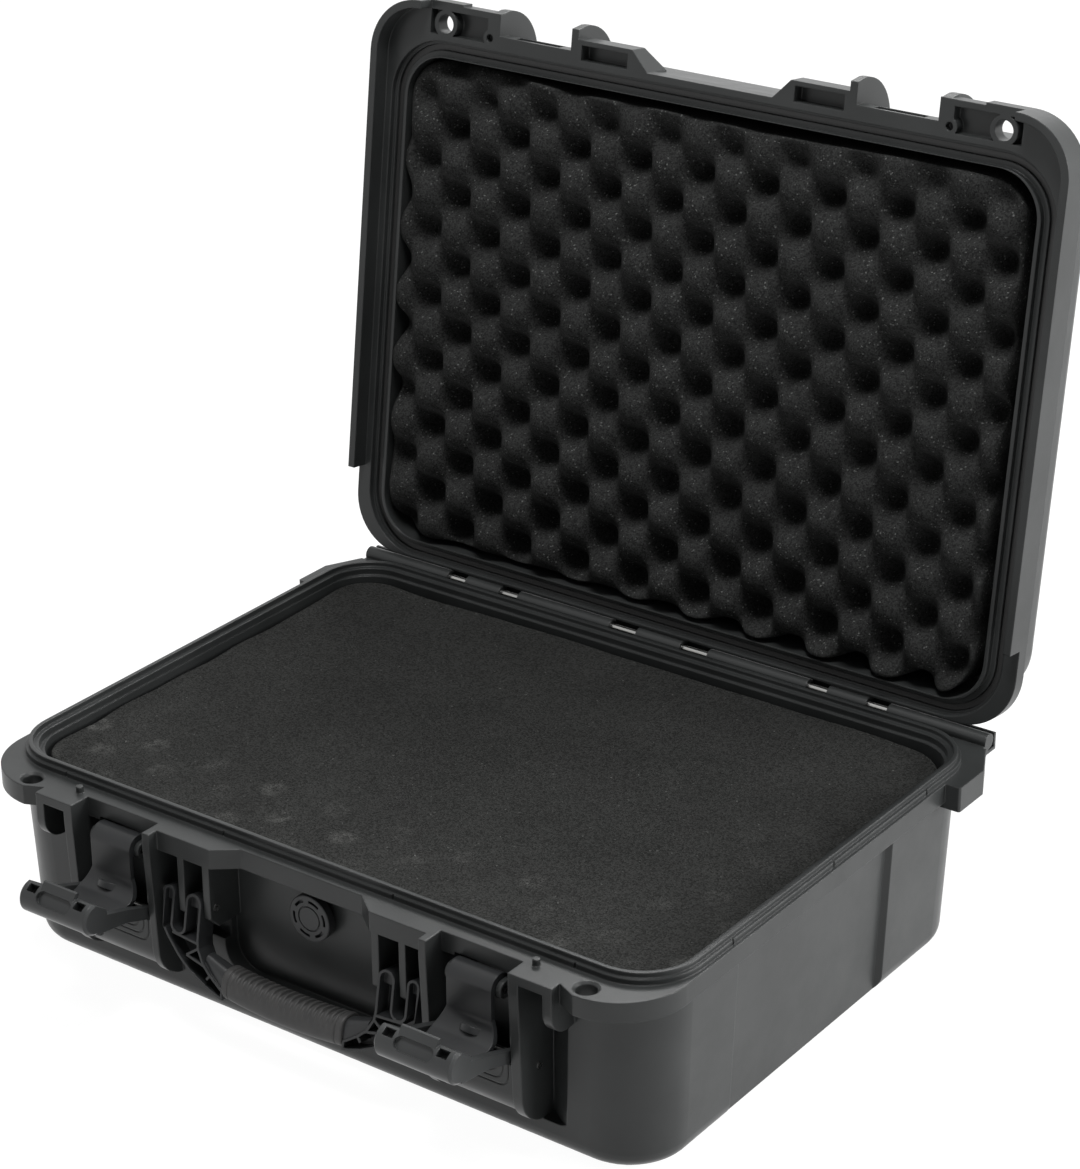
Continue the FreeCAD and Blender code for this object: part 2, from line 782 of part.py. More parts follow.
def base_holes():
    """Bores for pins, padlocks and the valve."""
    holes = []
    y = at_front(0)
    low = below_joint(flange_thick) - over
    for side in (-1, 1):
        x = side * padlock_x
        holes.append(rod_z(padlock_r, low, joint_z + over, x, y))
        holes.append(Part.makeCone(padlock_r, padlock_r + padlock_bevel, padlock_bevel,
                                   vec(x, y, joint_z - padlock_bevel), z_axis))
    pin = hinge_pin_r + fixed_play
    for x0, x1, _ in hinge_pin_spans():
        holes.append(rod_x(pin, x0, x1, hinge_y, hinge_z))
    handle_bore = rod_x(handle_pin_r + fixed_play, inner_rib_x - inner_rib_half - over,
                        housing_in + inner_fin / 2, *handle_pin)
    hook_bore = rod_x(hook_pin_r + fixed_play, pocket_in - inner_fin / 2, housing_out + over, *hook_pin)
    lever_bore = rod_x(lever_pin_r + fixed_play, *lever_pin_span(), *lever_pin)
    holes += both_sides(handle_bore) + both_sides(hook_bore) + both_sides(lever_bore)
    holes.append(rod_y(valve_stem_r + valve_stem_play, at_front(valve_recess_y) - over,
                       cavity[1] + over, 0, valve_z))
    return holes


def hinge_pin_spans():
    """Start, end and name of each hinge pin."""
    side = (inner_barrel[1] - pin_seat, outer_barrel[0] + pin_seat)
    middle = inner_barrel[0] + pin_seat
    return [(-side[1], -side[0], "hinge_pin_left"), (-middle, middle, "hinge_pin_centre"),
            (side[0], side[1], "hinge_pin_right")]


def lever_pin_span():
    """X range of the right lever pin."""
    reach = lever_half + lever_side_gap + ear_thick
    return latch_x - reach, latch_x + reach


# Lid shell, drawn closed

lid_low = joint_z + joint_gap


def lid_band_half(z0, z1):
    """Right half of the lid's lower band seen from above."""
    x_c = lid_half - lid_corner
    y_c = at_front(lid_front) + lid_corner
    y_b = hinge_y - lid_back_gap
    k = lid_corner * math.sqrt(0.5)
    points = [(0, at_front(lid_body_front)), (cover_mid, at_front(lid_body_front)),
              (cover_start, at_front(cover_front)), (cover_end, at_front(cover_front)),
              (cover_end, at_front(lid_fin_front)), (pocket_in, at_front(lid_fin_front)),
              (pocket_in, at_front(keeper_y)), (pocket_out, at_front(keeper_y)),
              (pocket_out, at_front(block_front)), (block_end, at_front(block_front)),
              (block_end, at_front(lid_front)), (x_c, at_front(lid_front))]
    lines = [vec(x, y, z0) for x, y in points]
    edges = [Part.LineSegment(a, b).toShape() for a, b in zip(lines, lines[1:])]
    edges.append(Part.Arc(lines[-1], vec(x_c + k, y_c - k, z0), vec(lid_half, y_c, z0)).toShape())
    edges.append(Part.LineSegment(vec(lid_half, y_c, z0), vec(lid_half, y_b - lid_corner, z0)).toShape())
    edges.append(Part.Arc(vec(lid_half, y_b - lid_corner, z0), vec(x_c + k, y_b - lid_corner + k, z0),
                          vec(x_c, y_b, z0)).toShape())
    edges.append(Part.LineSegment(vec(x_c, y_b, z0), vec(0, y_b, z0)).toShape())
    edges.append(Part.LineSegment(vec(0, y_b, z0), lines[0]).toShape())
    return Part.Face(Part.Wire(edges)).extrude(vec(0, 0, z1 - z0))


def lid_skirt():
    """Lip that hangs outside the base flange along both sides and round the front corners."""
    outer = (lid_half, at_front(lid_front), hinge_y - lid_back_gap, lid_corner)
    wall = ring(outer, inset(outer, skirt_thick), lid_low - skirt_drop, lid_low + over)
    y0 = at_front(lid_front) - over
    keep = box(skirt_start_x, lid_half + over, y0, hinge_y - skirt_end_gap,
               lid_low - skirt_drop - over, lid_low + 2 * over)
    return both_sides(wall.common(keep))


def lid_fin(x0, x1):
    """Half-round fin beside a latch, on the right-hand side."""
    front = at_front(lid_fin_front)
    back = at_front(lid_body_front_top) + over
    top = joint_z + lid_fin_high
    bend = vec(0, front - lid_fin_bulge, joint_z + lid_band)
    middle = vec(0, front + (back - front) * lid_fin_bend_share,
                 joint_z + lid_fin_high * (1 - lid_fin_bend_share))
    edges = [Part.LineSegment(vec(0, front, lid_low), bend).toShape(),
             Part.Arc(bend, middle, vec(0, back, top)).toShape(),
             Part.LineSegment(vec(0, back, top), vec(0, back, lid_low)).toShape(),
             Part.LineSegment(vec(0, back, lid_low), vec(0, front, lid_low)).toShape()]
    return extruded_fin(Part.Face(Part.Wire(edges)), x0, x1)


def lid_cover():
    """Bump of the lid over a handle bracket, right-hand side."""
    back = at_front(lid_body_front_top) + over
    plan = prism_z([(cover_mid, back), (cover_mid, at_front(lid_body_front)),
                    (cover_start, at_front(cover_front)), (cover_end, at_front(cover_front)), (cover_end, back)],
                   lid_low, joint_z + cover_high + cover_slope)
    front = at_front(cover_front) - over
    top = joint_z + cover_high
    side = prism_x([(front, lid_low), (front, top - over), (at_front(cover_front), top),
                    (back, top + cover_slope), (back, lid_low)], cover_mid - over, cover_end + over)
    return plan.common(side)


def lid_bosses():
    """Round walls of the padlock bore and the peg socket, right-hand side."""
    low = lid_low - 2 * over
    high = lid_low + ear_cavity_high + over
    return [rod_z(padlock_r + boss_wall, low, high, padlock_x, at_front(0)),
            rod_z(peg_r + peg_play + peg_boss_wall, low, high, peg_x, at_front(peg_y))]


def lid_knuckles():
    """Knuckles that turn on the hinge pins, with their webs."""
    spans = [knuckle_side, (-knuckle_mid_half, knuckle_mid_half), (-knuckle_side[1], -knuckle_side[0])]
    edge = hinge_y - lid_back_gap
    parts = []
    for x0, x1 in spans:
        parts.append(rod_x(barrel_r, x0, x1, hinge_y, hinge_z))
        parts.append(box(x0, x1, edge - over, hinge_y, hinge_z + running_play, hinge_z + barrel_r))
    return parts


def make_lid_shell():
    """The whole moulded lid, still closed."""
    low = (lid_body_half, at_front(lid_body_front), hinge_y - lid_body_back_gap, lid_body_corner)
    high = (lid_body_half_top, at_front(lid_body_front_top), hinge_y - lid_body_back_gap_top, lid_body_corner)
    lid_top = joint_z + lid_high
    shell = drafted_body(low, high, lid_low, lid_top)
    shell = shell.makeFillet(lid_top_round, edges_at(shell, lambda c: abs(c.z - lid_top) < near))
    solids = [shell] + both_sides(lid_band_half(lid_low, joint_z + lid_band)) + lid_skirt()
    for fin in (lid_fin(housing_in, pocket_in), lid_fin(pocket_out, housing_out), lid_cover()):
        solids += both_sides(fin)
    body = joined(solids + lid_knuckles())
    wall = (lid_wall_x, at_front(lid_wall_front), hinge_y - lid_wall_back_gap, lid_cavity_corner)
    channel_outer = inset(rim_outer, -channel_play)
    channel_inner = inset(rim_outer, rim_width + channel_play)
    cuts = [rounded_plate(*wall, lid_low - over, lid_top - lid_top_thick),
            ring(channel_outer, channel_inner, lid_low - over, joint_z + rim_step_high + channel_play),
            ring(*groove_walls(), joint_z, joint_z + groove_high)]
    cuts += both_sides(box(cover_start + cover_wall, cover_end - cover_wall,
                           at_front(cover_front) + cover_wall, at_front(lid_body_front),
                           lid_low - over, joint_z + cover_cavity_high))
    cuts += both_sides(ear_cavity())
    cuts += both_sides(box(latch_x - keeper_groove_half, latch_x + keeper_groove_half,
                           at_front(keeper_y) - over, at_front(keeper_groove_y),
                           lid_low + keeper_lip, joint_z + keeper_groove_top))
    body = body.cut(Part.makeCompound(cuts))
    holes = []
    for side in (-1, 1):
        holes.append(rod_z(padlock_r, lid_low - over, lid_top, side * padlock_x, at_front(0)))
        holes.append(rod_z(peg_r + peg_play, lid_low - over, joint_z + peg_high + channel_play,
                           side * peg_x, at_front(peg_y)))
    holes.append(rod_x(hinge_pin_r + running_play, -lid_half, lid_half, hinge_y, hinge_z))
    return body.cut(Part.makeCompound(holes)).removeSplitter()


def ear_cavity():
    """Hollow round the padlock bore and peg socket of the lid, right-hand side."""
    x0 = peg_x + peg_r
    x1 = padlock_x + padlock_r + 2 * boss_wall
    y0 = at_front(block_front) + ear_cavity_wall
    y1 = at_front(rim_front) - 2 * channel_play - cover_wall
    hollow = box(x0, x1, y0, y1, lid_low - over, lid_low + ear_cavity_high)
    return hollow.cut(Part.makeCompound(lid_bosses()))


def groove_walls():
    """Outer and inner outline of the seal groove."""
    outer = inset(rim_outer, tongue_inset - groove_play)
    return outer, inset(outer, tongue_wide + 2 * groove_play)


def make_lid_seal():
    """Soft ring at the bottom of the lid's groove."""
    outer, inner = groove_walls()
    top = joint_z + groove_high
    return ring(inset(outer, seal_play), inset(inner, -seal_play), top - seal_thick, top)


# Foam

def make_base_foam():
    """Three flat layers that fill the base, with a notch round the valve nut."""
    low = inset(cavity_low, foam_play)
    high = inset(cavity, foam_play)
    top = below_joint(foam_top_drop)
    steps = [floor_thick, floor_thick + foam_bottom_thick, top - foam_top_thick, top]
    inner_end = cavity[1] + valve_nut_thick + valve_stem_out + foam_notch_play
    notch_half = valve_nut_across / 2 + 2 * foam_notch_play
    notch = box(-notch_half, notch_half, cavity[1] - over, inner_end,
                valve_z - notch_half, valve_z + notch_half)
    names = ("base_foam_bottom", "base_foam_middle", "base_foam_top")
    shares = [(z - floor_thick) / (joint_z - floor_thick) for z in steps]
    outlines = [between(low, high, share) for share in shares]
    layers = {}
    for index, name in enumerate(names):
        layer = drafted_body(outlines[index], outlines[index + 1], steps[index], steps[index + 1])
        layers[name] = layer.cut(notch)
    return layers


def crate_places(half, y0, y1):
    """Centres of the foam peaks: a staggered grid whose peaks stand wholly on the pad."""
    places = []
    room = lid_cavity_corner - crate_peak_r - crate_edge
    rows = int((y1 - y0) / (crate_pitch_y / 2))
    columns = int(half / (crate_pitch_x / 2)) + 1
    for row in range(rows + 1):
        for column in range(-columns, columns + 1):
            x = crate_shift_x + column * crate_pitch_x / 2
            y = at_front(crate_first_y) + row * crate_pitch_y / 2
            past_x = max(abs(x) - half + lid_cavity_corner, 0)
            past_y = max(y0 + lid_cavity_corner - y, y - y1 + lid_cavity_corner, 0)
            if (row + column) % 2 == 0 and math.hypot(past_x, past_y) < room:
                places.append((x, y))
    return places


def make_lid_foam():
    """Egg-crate pad: flat slab with a staggered grid of round peaks pointing out of the lid."""
    half = lid_wall_x - crate_gap
    y0 = at_front(lid_wall_front) + crate_gap
    y1 = hinge_y - lid_wall_back_gap - crate_gap
    top = joint_z + lid_high - lid_top_thick
    low = top - crate_slab
    slab = rounded_plate(half, y0, y1, lid_cavity_corner, low, top)
    tip = low - crate_peak_high
    profile = [vec(0, 0, low + over), vec(crate_peak_r, 0, low + over), vec(crate_peak_r, 0, low),
               vec(crate_peak_top_r, 0, tip + crate_peak_top_r)]
    sphere_side = vec(crate_peak_top_r * math.sqrt(0.5), 0, tip + crate_peak_top_r * (1 - math.sqrt(0.5)))
    edges = [Part.LineSegment(a, b).toShape() for a, b in zip(profile, profile[1:])]
    edges.append(Part.Arc(profile[-1], sphere_side, vec(0, 0, tip)).toShape())
    edges.append(Part.LineSegment(vec(0, 0, tip), profile[0]).toShape())
    peak = Part.Face(Part.Wire(edges)).revolve(origin, z_axis, 360)
    peaks = []
    for x, y in crate_places(half, y0, y1):
        copy = peak.copy()
        copy.translate(vec(x, y, 0))
        peaks.append(copy)
    return slab.multiFuse(peaks)


# Handle

arm_edge_shares = ((1.0, 0.0), (0.985, 0.387), (0.938, 0.502), (0.847, 0.672), (0.758, 0.802),
                   (0.614, 0.929), (0.520, 0.985))
arm_back_shares = ((0.499, 0.852), (0.584, 0.743), (0.636, 0.656), (0.684, 0.498), (0.692, 0.395))
arm_tip_share = 0.881
arm_rib_shares = (((0.905, 0.415), (0.690, 0.447)), ((0.690, 0.500), (0.778, 0.622)),
                  ((0.778, 0.622), (0.620, 0.686)), ((0.572, 0.750), (0.606, 0.826)))
cuff_ends = ((18.0, 13.0, 0, -41.5), (7.5, 9.0, -0.5, -31.9))     # height, depth and place about the pin


def scaled(shares):
    """Points of the arm from shares of its reach and its fall."""
    return [(x * arm_outer, -z * arm_low) for x, z in shares]


def arm_outline():
    """Right arm seen from the front, relative to its pin."""
    ends = [(grip_half_long, -arm_low), (grip_half_long, -arm_tip_share * arm_low)]
    return scaled(arm_edge_shares) + ends + scaled(arm_back_shares) + [(arm_inner, 0)]


def handle_plate(outline, y0, y1):
    """Front-view outline about the handle pin turned into a plate."""
    y, z = handle_pin
    return prism_y([(x, z + rise) for x, rise in outline], y + y0, y + y1)


def loop_shape(x0, x1, y0, y1, low, gap):
    """Upright bar with a round top about the pin, drawn in by a gap."""
    y, z = handle_pin
    r = (x1 - x0) / 2 - gap
    rise = loop_rise - gap - r
    bar = box(x0 + gap, x1 - gap, y + y0, y + y1, z - low, z + rise)
    return bar.fuse(rod_y(r, y + y0, y + y1, (x0 + x1) / 2, z + rise))


def arm_rib(a, b):
    """Rib between two places of an arm's front view, as deep as the arm."""
    along = math.hypot(b[0] - a[0], b[1] - a[1])
    side = (arm_wall / 2 * (a[1] - b[1]) / along, arm_wall / 2 * (b[0] - a[0]) / along)
    corners = [(a[0] + side[0], a[1] + side[1]), (b[0] + side[0], b[1] + side[1]),
               (b[0] - side[0], b[1] - side[1]), (a[0] - side[0], a[1] - side[1])]
    return handle_plate(corners, -arm_front - 2 * over, arm_back)


def arm_hollows(loops):
    """Open pockets between the thin ribs of the right arm, shallow where the pin passes behind."""
    y, z = handle_pin
    front = y - arm_front - over
    wire = Part.makePolygon([vec(x, front, z + rise) for x, rise in arm_outline() + arm_outline()[:1]])
    inner = Part.Face(wire).makeOffset2D(-arm_wall, 2)
    deep = arm_front + over + arm_back - arm_web
    hollow = inner.extrude(vec(0, deep, 0))
    for x0, x1 in loops:
        hollow = hollow.fuse(loop_shape(x0, x1, -arm_front - over, arm_back - arm_web, slot_drop, arm_wall))
    half = slot_half + arm_wall
    slot_low = z - slot_drop + slot_half
    rim = box(mid_rib_x - half, mid_rib_x + half, front - over, y + arm_back, slot_low, z + loop_rise)
    ribs = [rim, rod_y(half, front - over, y + arm_back, mid_rib_x, slot_low)]
    ribs += [arm_rib(*scaled(ends)) for ends in arm_rib_shares]
    ribs.append(box(arm_inner - over, arm_outer + over, y - handle_pin_r - pin_cover, y + arm_back,
                    z - handle_pin_r - pin_cover, z + loop_rise))
    return hollow.cut(Part.makeCompound(ribs))


def arm_cuff():
    """Rounded end of the right arm that runs into the grip."""
    y, z = handle_pin
    reach = arm_inner - arm_wall
    wires = [grip_section(x, high, deep, y + ahead, z + rise)
             for x, (high, deep, ahead, rise) in zip((grip_half_long, reach - cuff_gap), cuff_ends)]
    return Part.makeLoft(wires, True, True)


def make_handle_frame():
    """Two ribbed arms joined by the core of the grip, hanging in its rest tilt."""
    y, z = handle_pin
    arm = handle_plate(arm_outline(), -arm_front, arm_back)
    loops = [(arm_inner, mid_rib_x - slot_half), (mid_rib_x + slot_half, arm_outer)]
    for x0, x1 in loops:
        arm = arm.fuse(loop_shape(x0, x1, -arm_front, arm_back, over, 0))
    slot_low = z - slot_drop + slot_half
    slot = box(mid_rib_x - slot_half, mid_rib_x + slot_half, y - arm_front - over, y + arm_back + over,
               slot_low, z + loop_rise + over)
    slot = slot.fuse(rod_y(slot_half, y - arm_front - over, y + arm_back + over, mid_rib_x, slot_low))
    arm = arm.cut(slot).fuse(arm_cuff()).cut(arm_hollows(loops))
    core = box(-grip_half_long - over, grip_half_long + over, y - core_deep / 2, y + core_deep / 2,
               z - grip_drop - core_high / 2, z - grip_drop + core_high / 2)
    frame = joined(both_sides(arm) + [core])
    bore = rod_x(handle_pin_r + running_play, arm_inner - over, arm_outer + over, y, z)
    frame = frame.cut(Part.makeCompound(both_sides(bore)))
    return turned_x(frame, y, z, -handle_tilt_deg)


def grip_section(x, high, deep, y, z):
    """Rounded section of the grip at one place along it."""
    r = min(high, deep) * grip_round_share
    hh = high / 2
    hd = deep / 2
    k = r * math.sqrt(0.5)
    starts = [(hd - r, -hh), (hd, hh - r), (r - hd, hh), (-hd, r - hh)]
    ends = [(hd, r - hh), (hd - r, hh), (-hd, hh - r), (r - hd, -hh)]
    centres = [(hd - r, r - hh, 1, -1), (hd - r, hh - r, 1, 1),
               (r - hd, hh - r, -1, 1), (r - hd, r - hh, -1, -1)]
    edges = []
    for index in range(4):
        a = ends[index - 1]
        b = starts[index]
        cy, cz, sy, sz = centres[index]
        edges.append(Part.LineSegment(vec(x, y + a[0], z + a[1]), vec(x, y + b[0], z + b[1])).toShape())
        edges.append(Part.Arc(vec(x, y + b[0], z + b[1]), vec(x, y + cy + sy * k, z + cz + sz * k),
                              vec(x, y + ends[index][0], z + ends[index][1])).toShape())
    return Part.Wire(edges)


def make_handle_grip():
    """Rubber sleeve round the core, slightly bowed, with grooves across its back."""
    y, z = handle_pin
    z -= grip_drop
    wires = []
    for index in range(grip_stations):
        share = 2 * index / (grip_stations - 1) - 1
        bow = grip_bow * (1 - share * share)
        wires.append(grip_section(share * grip_half_long, grip_high, grip_deep, y, z - bow + grip_bow / 2))
    sleeve = Part.makeLoft(wires, True, True)
    core = box(-grip_half_long - over, grip_half_long + over, y - core_deep / 2, y + core_deep / 2,
               z - core_high / 2, z + core_high / 2)
    grooves = []
    room = 2 * (grip_half_long - 2 * grip_collar)
    pitch = room / (grip_ribs - 1)
    for index in range(grip_ribs):
        x = -room / 2 + index * pitch
        ring_cut = box(x - pitch / 4, x + pitch / 4, y - grip_deep / 4, y + grip_deep, z, z + grip_high)
        keep = rod_x(min(grip_high, grip_deep) / 2 - grip_rib_deep, x - pitch, x + pitch, y, z + grip_bow / 4)
        grooves.append(ring_cut.cut(keep))
    for side in (-1, 1):
        x = side * (grip_half_long - grip_collar)
        slot = box(x - pitch / 8, x + pitch / 8, y - grip_deep, y + grip_deep, z - grip_high, z + grip_high)
        keep = rod_x(grip_high / 2 - grip_rib_deep / 4, x - pitch, x + pitch, y, z)
        grooves.append(slot.cut(keep))
    sleeve = sleeve.cut(core).cut(Part.makeCompound(grooves))
    return turned_x(sleeve, *handle_pin, -handle_tilt_deg)


# Pressure valve

def valve_places():
    """Y of the wall's front face, the flange's front and the knob's front."""
    wall = at_front(valve_recess_y)
    flange = wall - valve_seal_thick - valve_flange_thick
    return wall, flange, at_front(valve_knob_y)


def make_valve_knob():
    """Round knob with a ring of slots and a sunk disc."""
    _, flange, front = valve_places()
    knob = rod_y(valve_knob_r, front, front + valve_knob_thick, 0, valve_z)
    rim = edges_at(knob, lambda c: abs(c.y - front) < near)
    knob = knob.makeFillet(valve_disc_deep, rim)
    disc = rod_y(valve_disc_r - valve_slot_wide / 4, front - 2 * over, front + valve_knob_thick, 0, valve_z)
    groove = rod_y(valve_disc_r + valve_slot_wide / 4, front - over, front + valve_disc_deep, 0, valve_z)
    cuts = [groove.cut(disc)]
    outer = rod_y(valve_slot_r + valve_slot_wide / 2, front - over, front + valve_knob_thick / 2, 0, valve_z)
    band = outer.cut(rod_y(valve_slot_r - valve_slot_wide / 2, front - 2 * over, front + valve_knob_thick,
                           0, valve_z))
    for index in range(valve_slots):
        wedge = Part.makeCylinder(valve_knob_r + over, valve_knob_thick, vec(0, front - 2 * over, valve_z),
                                  y_axis, valve_slot_deg)
        wedge.rotate(vec(0, 0, valve_z), y_axis, index * 360 / valve_slots)
        cuts.append(band.common(wedge))
    knob = knob.cut(Part.makeCompound(cuts))
    bore = rod_y(valve_hub_r + running_play, flange - valve_hub_long - running_play, flange + over,
                 0, valve_z)
    return knob.cut(bore)


def make_valve_body():
    """Flanged body that passes through the wall."""
    wall, flange, _ = valve_places()
    end = cavity[1] + valve_nut_thick + valve_stem_out
    body = joined([rod_y(valve_hub_r, flange - valve_hub_long, flange + over, 0, valve_z),
                   rod_y(valve_flange_r, flange, wall - valve_seal_thick, 0, valve_z),
                   rod_y(valve_stem_r, flange, end, 0, valve_z)])
    body = body.cut(rod_y(valve_bore_r, wall, end + over, 0, valve_z))
    seat = rod_y(valve_membrane_r + fixed_play, end - valve_membrane_thick, end + over, 0, valve_z)
    return body.cut(seat)


def make_valve_membrane():
    """Thin disc at the inner end of the body."""
    end = cavity[1] + valve_nut_thick + valve_stem_out
    return rod_y(valve_membrane_r, end - valve_membrane_thick, end, 0, valve_z)


def make_valve_seal():
    """Ring between the valve's flange and the wall."""
    wall = at_front(valve_recess_y)
    outer = rod_y(valve_flange_r - valve_stem_play, wall - valve_seal_thick, wall, 0, valve_z)
    inner = rod_y(valve_flange_r - valve_seal_wide, wall - 2 * valve_seal_thick, wall + over, 0, valve_z)
    return outer.cut(inner)


def make_valve_nut():
    """Hexagon nut inside the case."""
    y0 = cavity[1]
    radius = valve_nut_across / 2 / math.cos(math.radians(30))
    outline = [(radius * math.cos(math.radians(60 * i)), valve_z + radius * math.sin(math.radians(60 * i)))
               for i in range(6)]
    nut = prism_y(outline, y0, y0 + valve_nut_thick)
    return nut.cut(rod_y(valve_stem_r + fixed_play, y0 - over, y0 + valve_nut_thick + over, 0, valve_z))


# Latches, drawn for the right-hand side in the photographed open place

def polar(centre, radius, degrees):
    """Point at an angle about a centre, in the Y-Z plane."""
    angle = math.radians(degrees)
    return centre[0] + radius * math.cos(angle), centre[1] + radius * math.sin(angle)


def around(centre, size, shares):
    """Points about a centre in the Y-Z plane, from shares of a size."""
    return [(centre[0] + ahead * size, centre[1] + rise * size) for ahead, rise in shares]


def hook_arm_solid(x0, x1):
    """Side arm from the pin's eye to the bar, drawn from the side."""
    lip_y = at_front(panel_y)
    lower = below_joint(panel_top) + arm_gap
    outline = around(bar_rest, bar_r, hook_under_shares)
    outline += [(lip_y, lower), (lip_y + panel_thick + arm_gap, lower)]
    outline += around(hook_pin, eye_r, hook_eye_shares) + around(bar_rest, bar_r, hook_over_shares)
    return prism_x(outline, x0, x1).fuse(rod_x(eye_r, x0, x1, *hook_pin))


def turned_box(centre, degrees, along0, along1, half_across, x0, x1):
    """Block whose depth runs outwards from a centre at an angle in the Y-Z plane."""
    block = box(x0, x1, centre[0] + along0, centre[0] + along1,
                centre[1] - half_across, centre[1] + half_across)
    return turned_x(block, centre[0], centre[1], degrees)


def make_hook_frame():
    """Bar, arms and tongue as one moulding."""
    x0 = pocket_in + arm_gap
    x1 = pocket_out - arm_gap
    bar = rod_x(bar_r, x0, x1, *bar_rest)
    ends = edges_at(bar, lambda c: abs(c.x - x0) < near or abs(c.x - x1) < near)
    bar = bar.makeChamfer(bar_end_round, ends)
    pin_side = math.atan2(lever_pin[1] - bar_closed[1], lever_pin[0] - bar_closed[0])
    flat_deg = math.degrees(pin_side) + hook_swing_deg
    bar = bar.cut(turned_box(bar_rest, flat_deg, bar_flat, 2 * bar_r, 2 * bar_r,
                             x0 + arm_thick, x1 - arm_thick))
    bar = bar.cut(turned_box(bar_rest, hook_swing_deg, bar_back, 2 * bar_r, 2 * bar_r, x0 - over, x1 + over))
    hollow = turned_box(bar_rest, (flat_deg + hook_swing_deg) / 2, bar_hollow_start_share * bar_r, 2 * bar_r,
                        bar_hollow_half_share * bar_r, x0 + 2 * arm_thick, x1 - 2 * arm_thick)
    bar = bar.cut(hollow)
    arms = [hook_arm_solid(x0, x0 + arm_thick), hook_arm_solid(x1 - arm_thick, x1)]
    frame = joined([bar] + arms + [hook_tongue()])
    cuts = [bar_recess()]
    for middle in (x0 + bar_slot_inset, x1 - bar_slot_inset):
        cuts.append(turned_box(bar_rest, bar_slot_deg, bar_r - bar_slot_deep, 2 * bar_r, bar_slot_wide / 2,
                               middle - bar_slot_long / 2, middle + bar_slot_long / 2))
    cuts.append(rod_x(hook_pin_r + running_play, x0 - over, x1 + over, *hook_pin))
    return frame.cut(Part.makeCompound(cuts)).removeSplitter()


def hook_tongue():
    """Wedge that hooks over the keeper lip: drawn at the closed place, then swung back open."""
    y, z = bar_closed
    low = tongue_top - tongue_thick
    outline = [(y, z + low - over), (y + tongue_root_share * bar_r, z + low), (y + tongue_tip, z + low),
               (y + tongue_tip, z + tongue_top - over), (y + tongue_tip - over, z + tongue_top),
               (y, z + tongue_top)]
    wedge = prism_x(outline, latch_x - tongue_half, latch_x + tongue_half)
    return turned_x(wedge, *hook_pin, hook_swing_deg)


def bar_recess():
    """Obround finger recess in the bar's upper front."""
    r = bar_recess_r
    parts = [box(latch_x - bar_recess_half, latch_x + bar_recess_half, bar_rest[0] + bar_r - bar_recess_deep,
                 bar_rest[0] + 2 * bar_r, bar_rest[1] - r, bar_rest[1] + r)]
    for side in (-1, 1):
        parts.append(rod_y(r, bar_rest[0] + bar_r - bar_recess_deep, bar_rest[0] + 2 * bar_r,
                           latch_x + side * bar_recess_half, bar_rest[1]))
    return turned_x(joined(parts), *bar_rest, bar_recess_deg)


def lever_line(offset):
    """Side view of the lever's plate at a distance behind its front face."""
    y, z = lever_pin
    r = lever_r - offset
    curl_end = polar((y, z), r, lever_curl_deg)
    curl_top = polar((y, z), r, (180 + lever_curl_deg) / 2)
    front_top = (y - r, z)
    front_low = (y - r, z - lever_straight)
    bend_centre = (y - lever_r - lever_bend_r, z - lever_straight)
    bend_r = lever_bend_r + offset
    bend_mid = polar(bend_centre, bend_r, -lever_bend_deg / 2)
    bend_end = polar(bend_centre, bend_r, -lever_bend_deg)
    angle = math.radians(lever_bend_deg)
    flare_end = (bend_end[0] - lever_flare_long * math.sin(angle),
                 bend_end[1] - lever_flare_long * math.cos(angle))
    return curl_end, curl_top, front_top, front_low, bend_mid, bend_end, flare_end


def make_latch_lever():
    """Curved plate with its hub and two cheeks, flaring wider towards the bar."""
    outer = [vec(0, *p) for p in lever_line(0)]
    inner = [vec(0, *p) for p in lever_line(lever_thick)]
    edges = []
    for line in (outer, inner):
        edges.append(Part.Arc(line[0], line[1], line[2]).toShape())
        edges.append(Part.LineSegment(line[2], line[3]).toShape())
        edges.append(Part.Arc(line[3], line[4], line[5]).toShape())
        edges.append(Part.LineSegment(line[5], line[6]).toShape())
    edges.append(Part.LineSegment(outer[0], inner[0]).toShape())
    edges.append(Part.LineSegment(outer[6], inner[6]).toShape())
    profile = Part.Face(Part.Wire(Part.__sortEdges__(edges)))
    x0 = latch_x - lever_half
    x1 = latch_x + lever_half
    extra = lever_flare_extra
    plate = extruded_fin(profile, x0 - extra, x1 + extra)
    y, z = lever_pin
    top = z + 2 * lever_r
    start = z - lever_straight
    end = min(p[1] for p in lever_line(lever_thick)) - over
    front = at_front(bar_y)
    back = at_front(pocket_back)
    plan = [(x0, top), (x1, top), (x1, start), (x1 + extra, (start + end) / 2), (x1 + extra, end),
            (x0 - extra, end), (x0 - extra, (start + end) / 2), (x0, start)]
    plate = plate.common(prism_y(plan, front, back))
    hub = rod_x(lever_hub_r, x0, x1, y, z)
    lever = joined([plate, hub, lever_bump()])
    return lever.cut(rod_x(lever_pin_r + running_play, x0 - over, x1 + over, y, z))


def lever_bump():
    """Low arched ridge across the lever's bend."""
    y, z = lever_pin
    centre = (y - lever_r - lever_bend_r, z - lever_straight)
    foot = polar(centre, lever_bend_r, 0)
    points = [vec(bump_x - bump_half, foot[0] + bump_sink, foot[1]),
              vec(bump_x, foot[0] - bump_high, foot[1]),
              vec(bump_x + bump_half, foot[0] + bump_sink, foot[1])]
    outline = [Part.Arc(*points).toShape(), Part.LineSegment(points[2], points[0]).toShape()]
    arch = Part.Face(Part.Wire(outline))
    ridge = arch.extrude(vec(0, 0, -bump_thick))
    return turned_x(ridge, *centre, -bump_deg)


# Build every piece

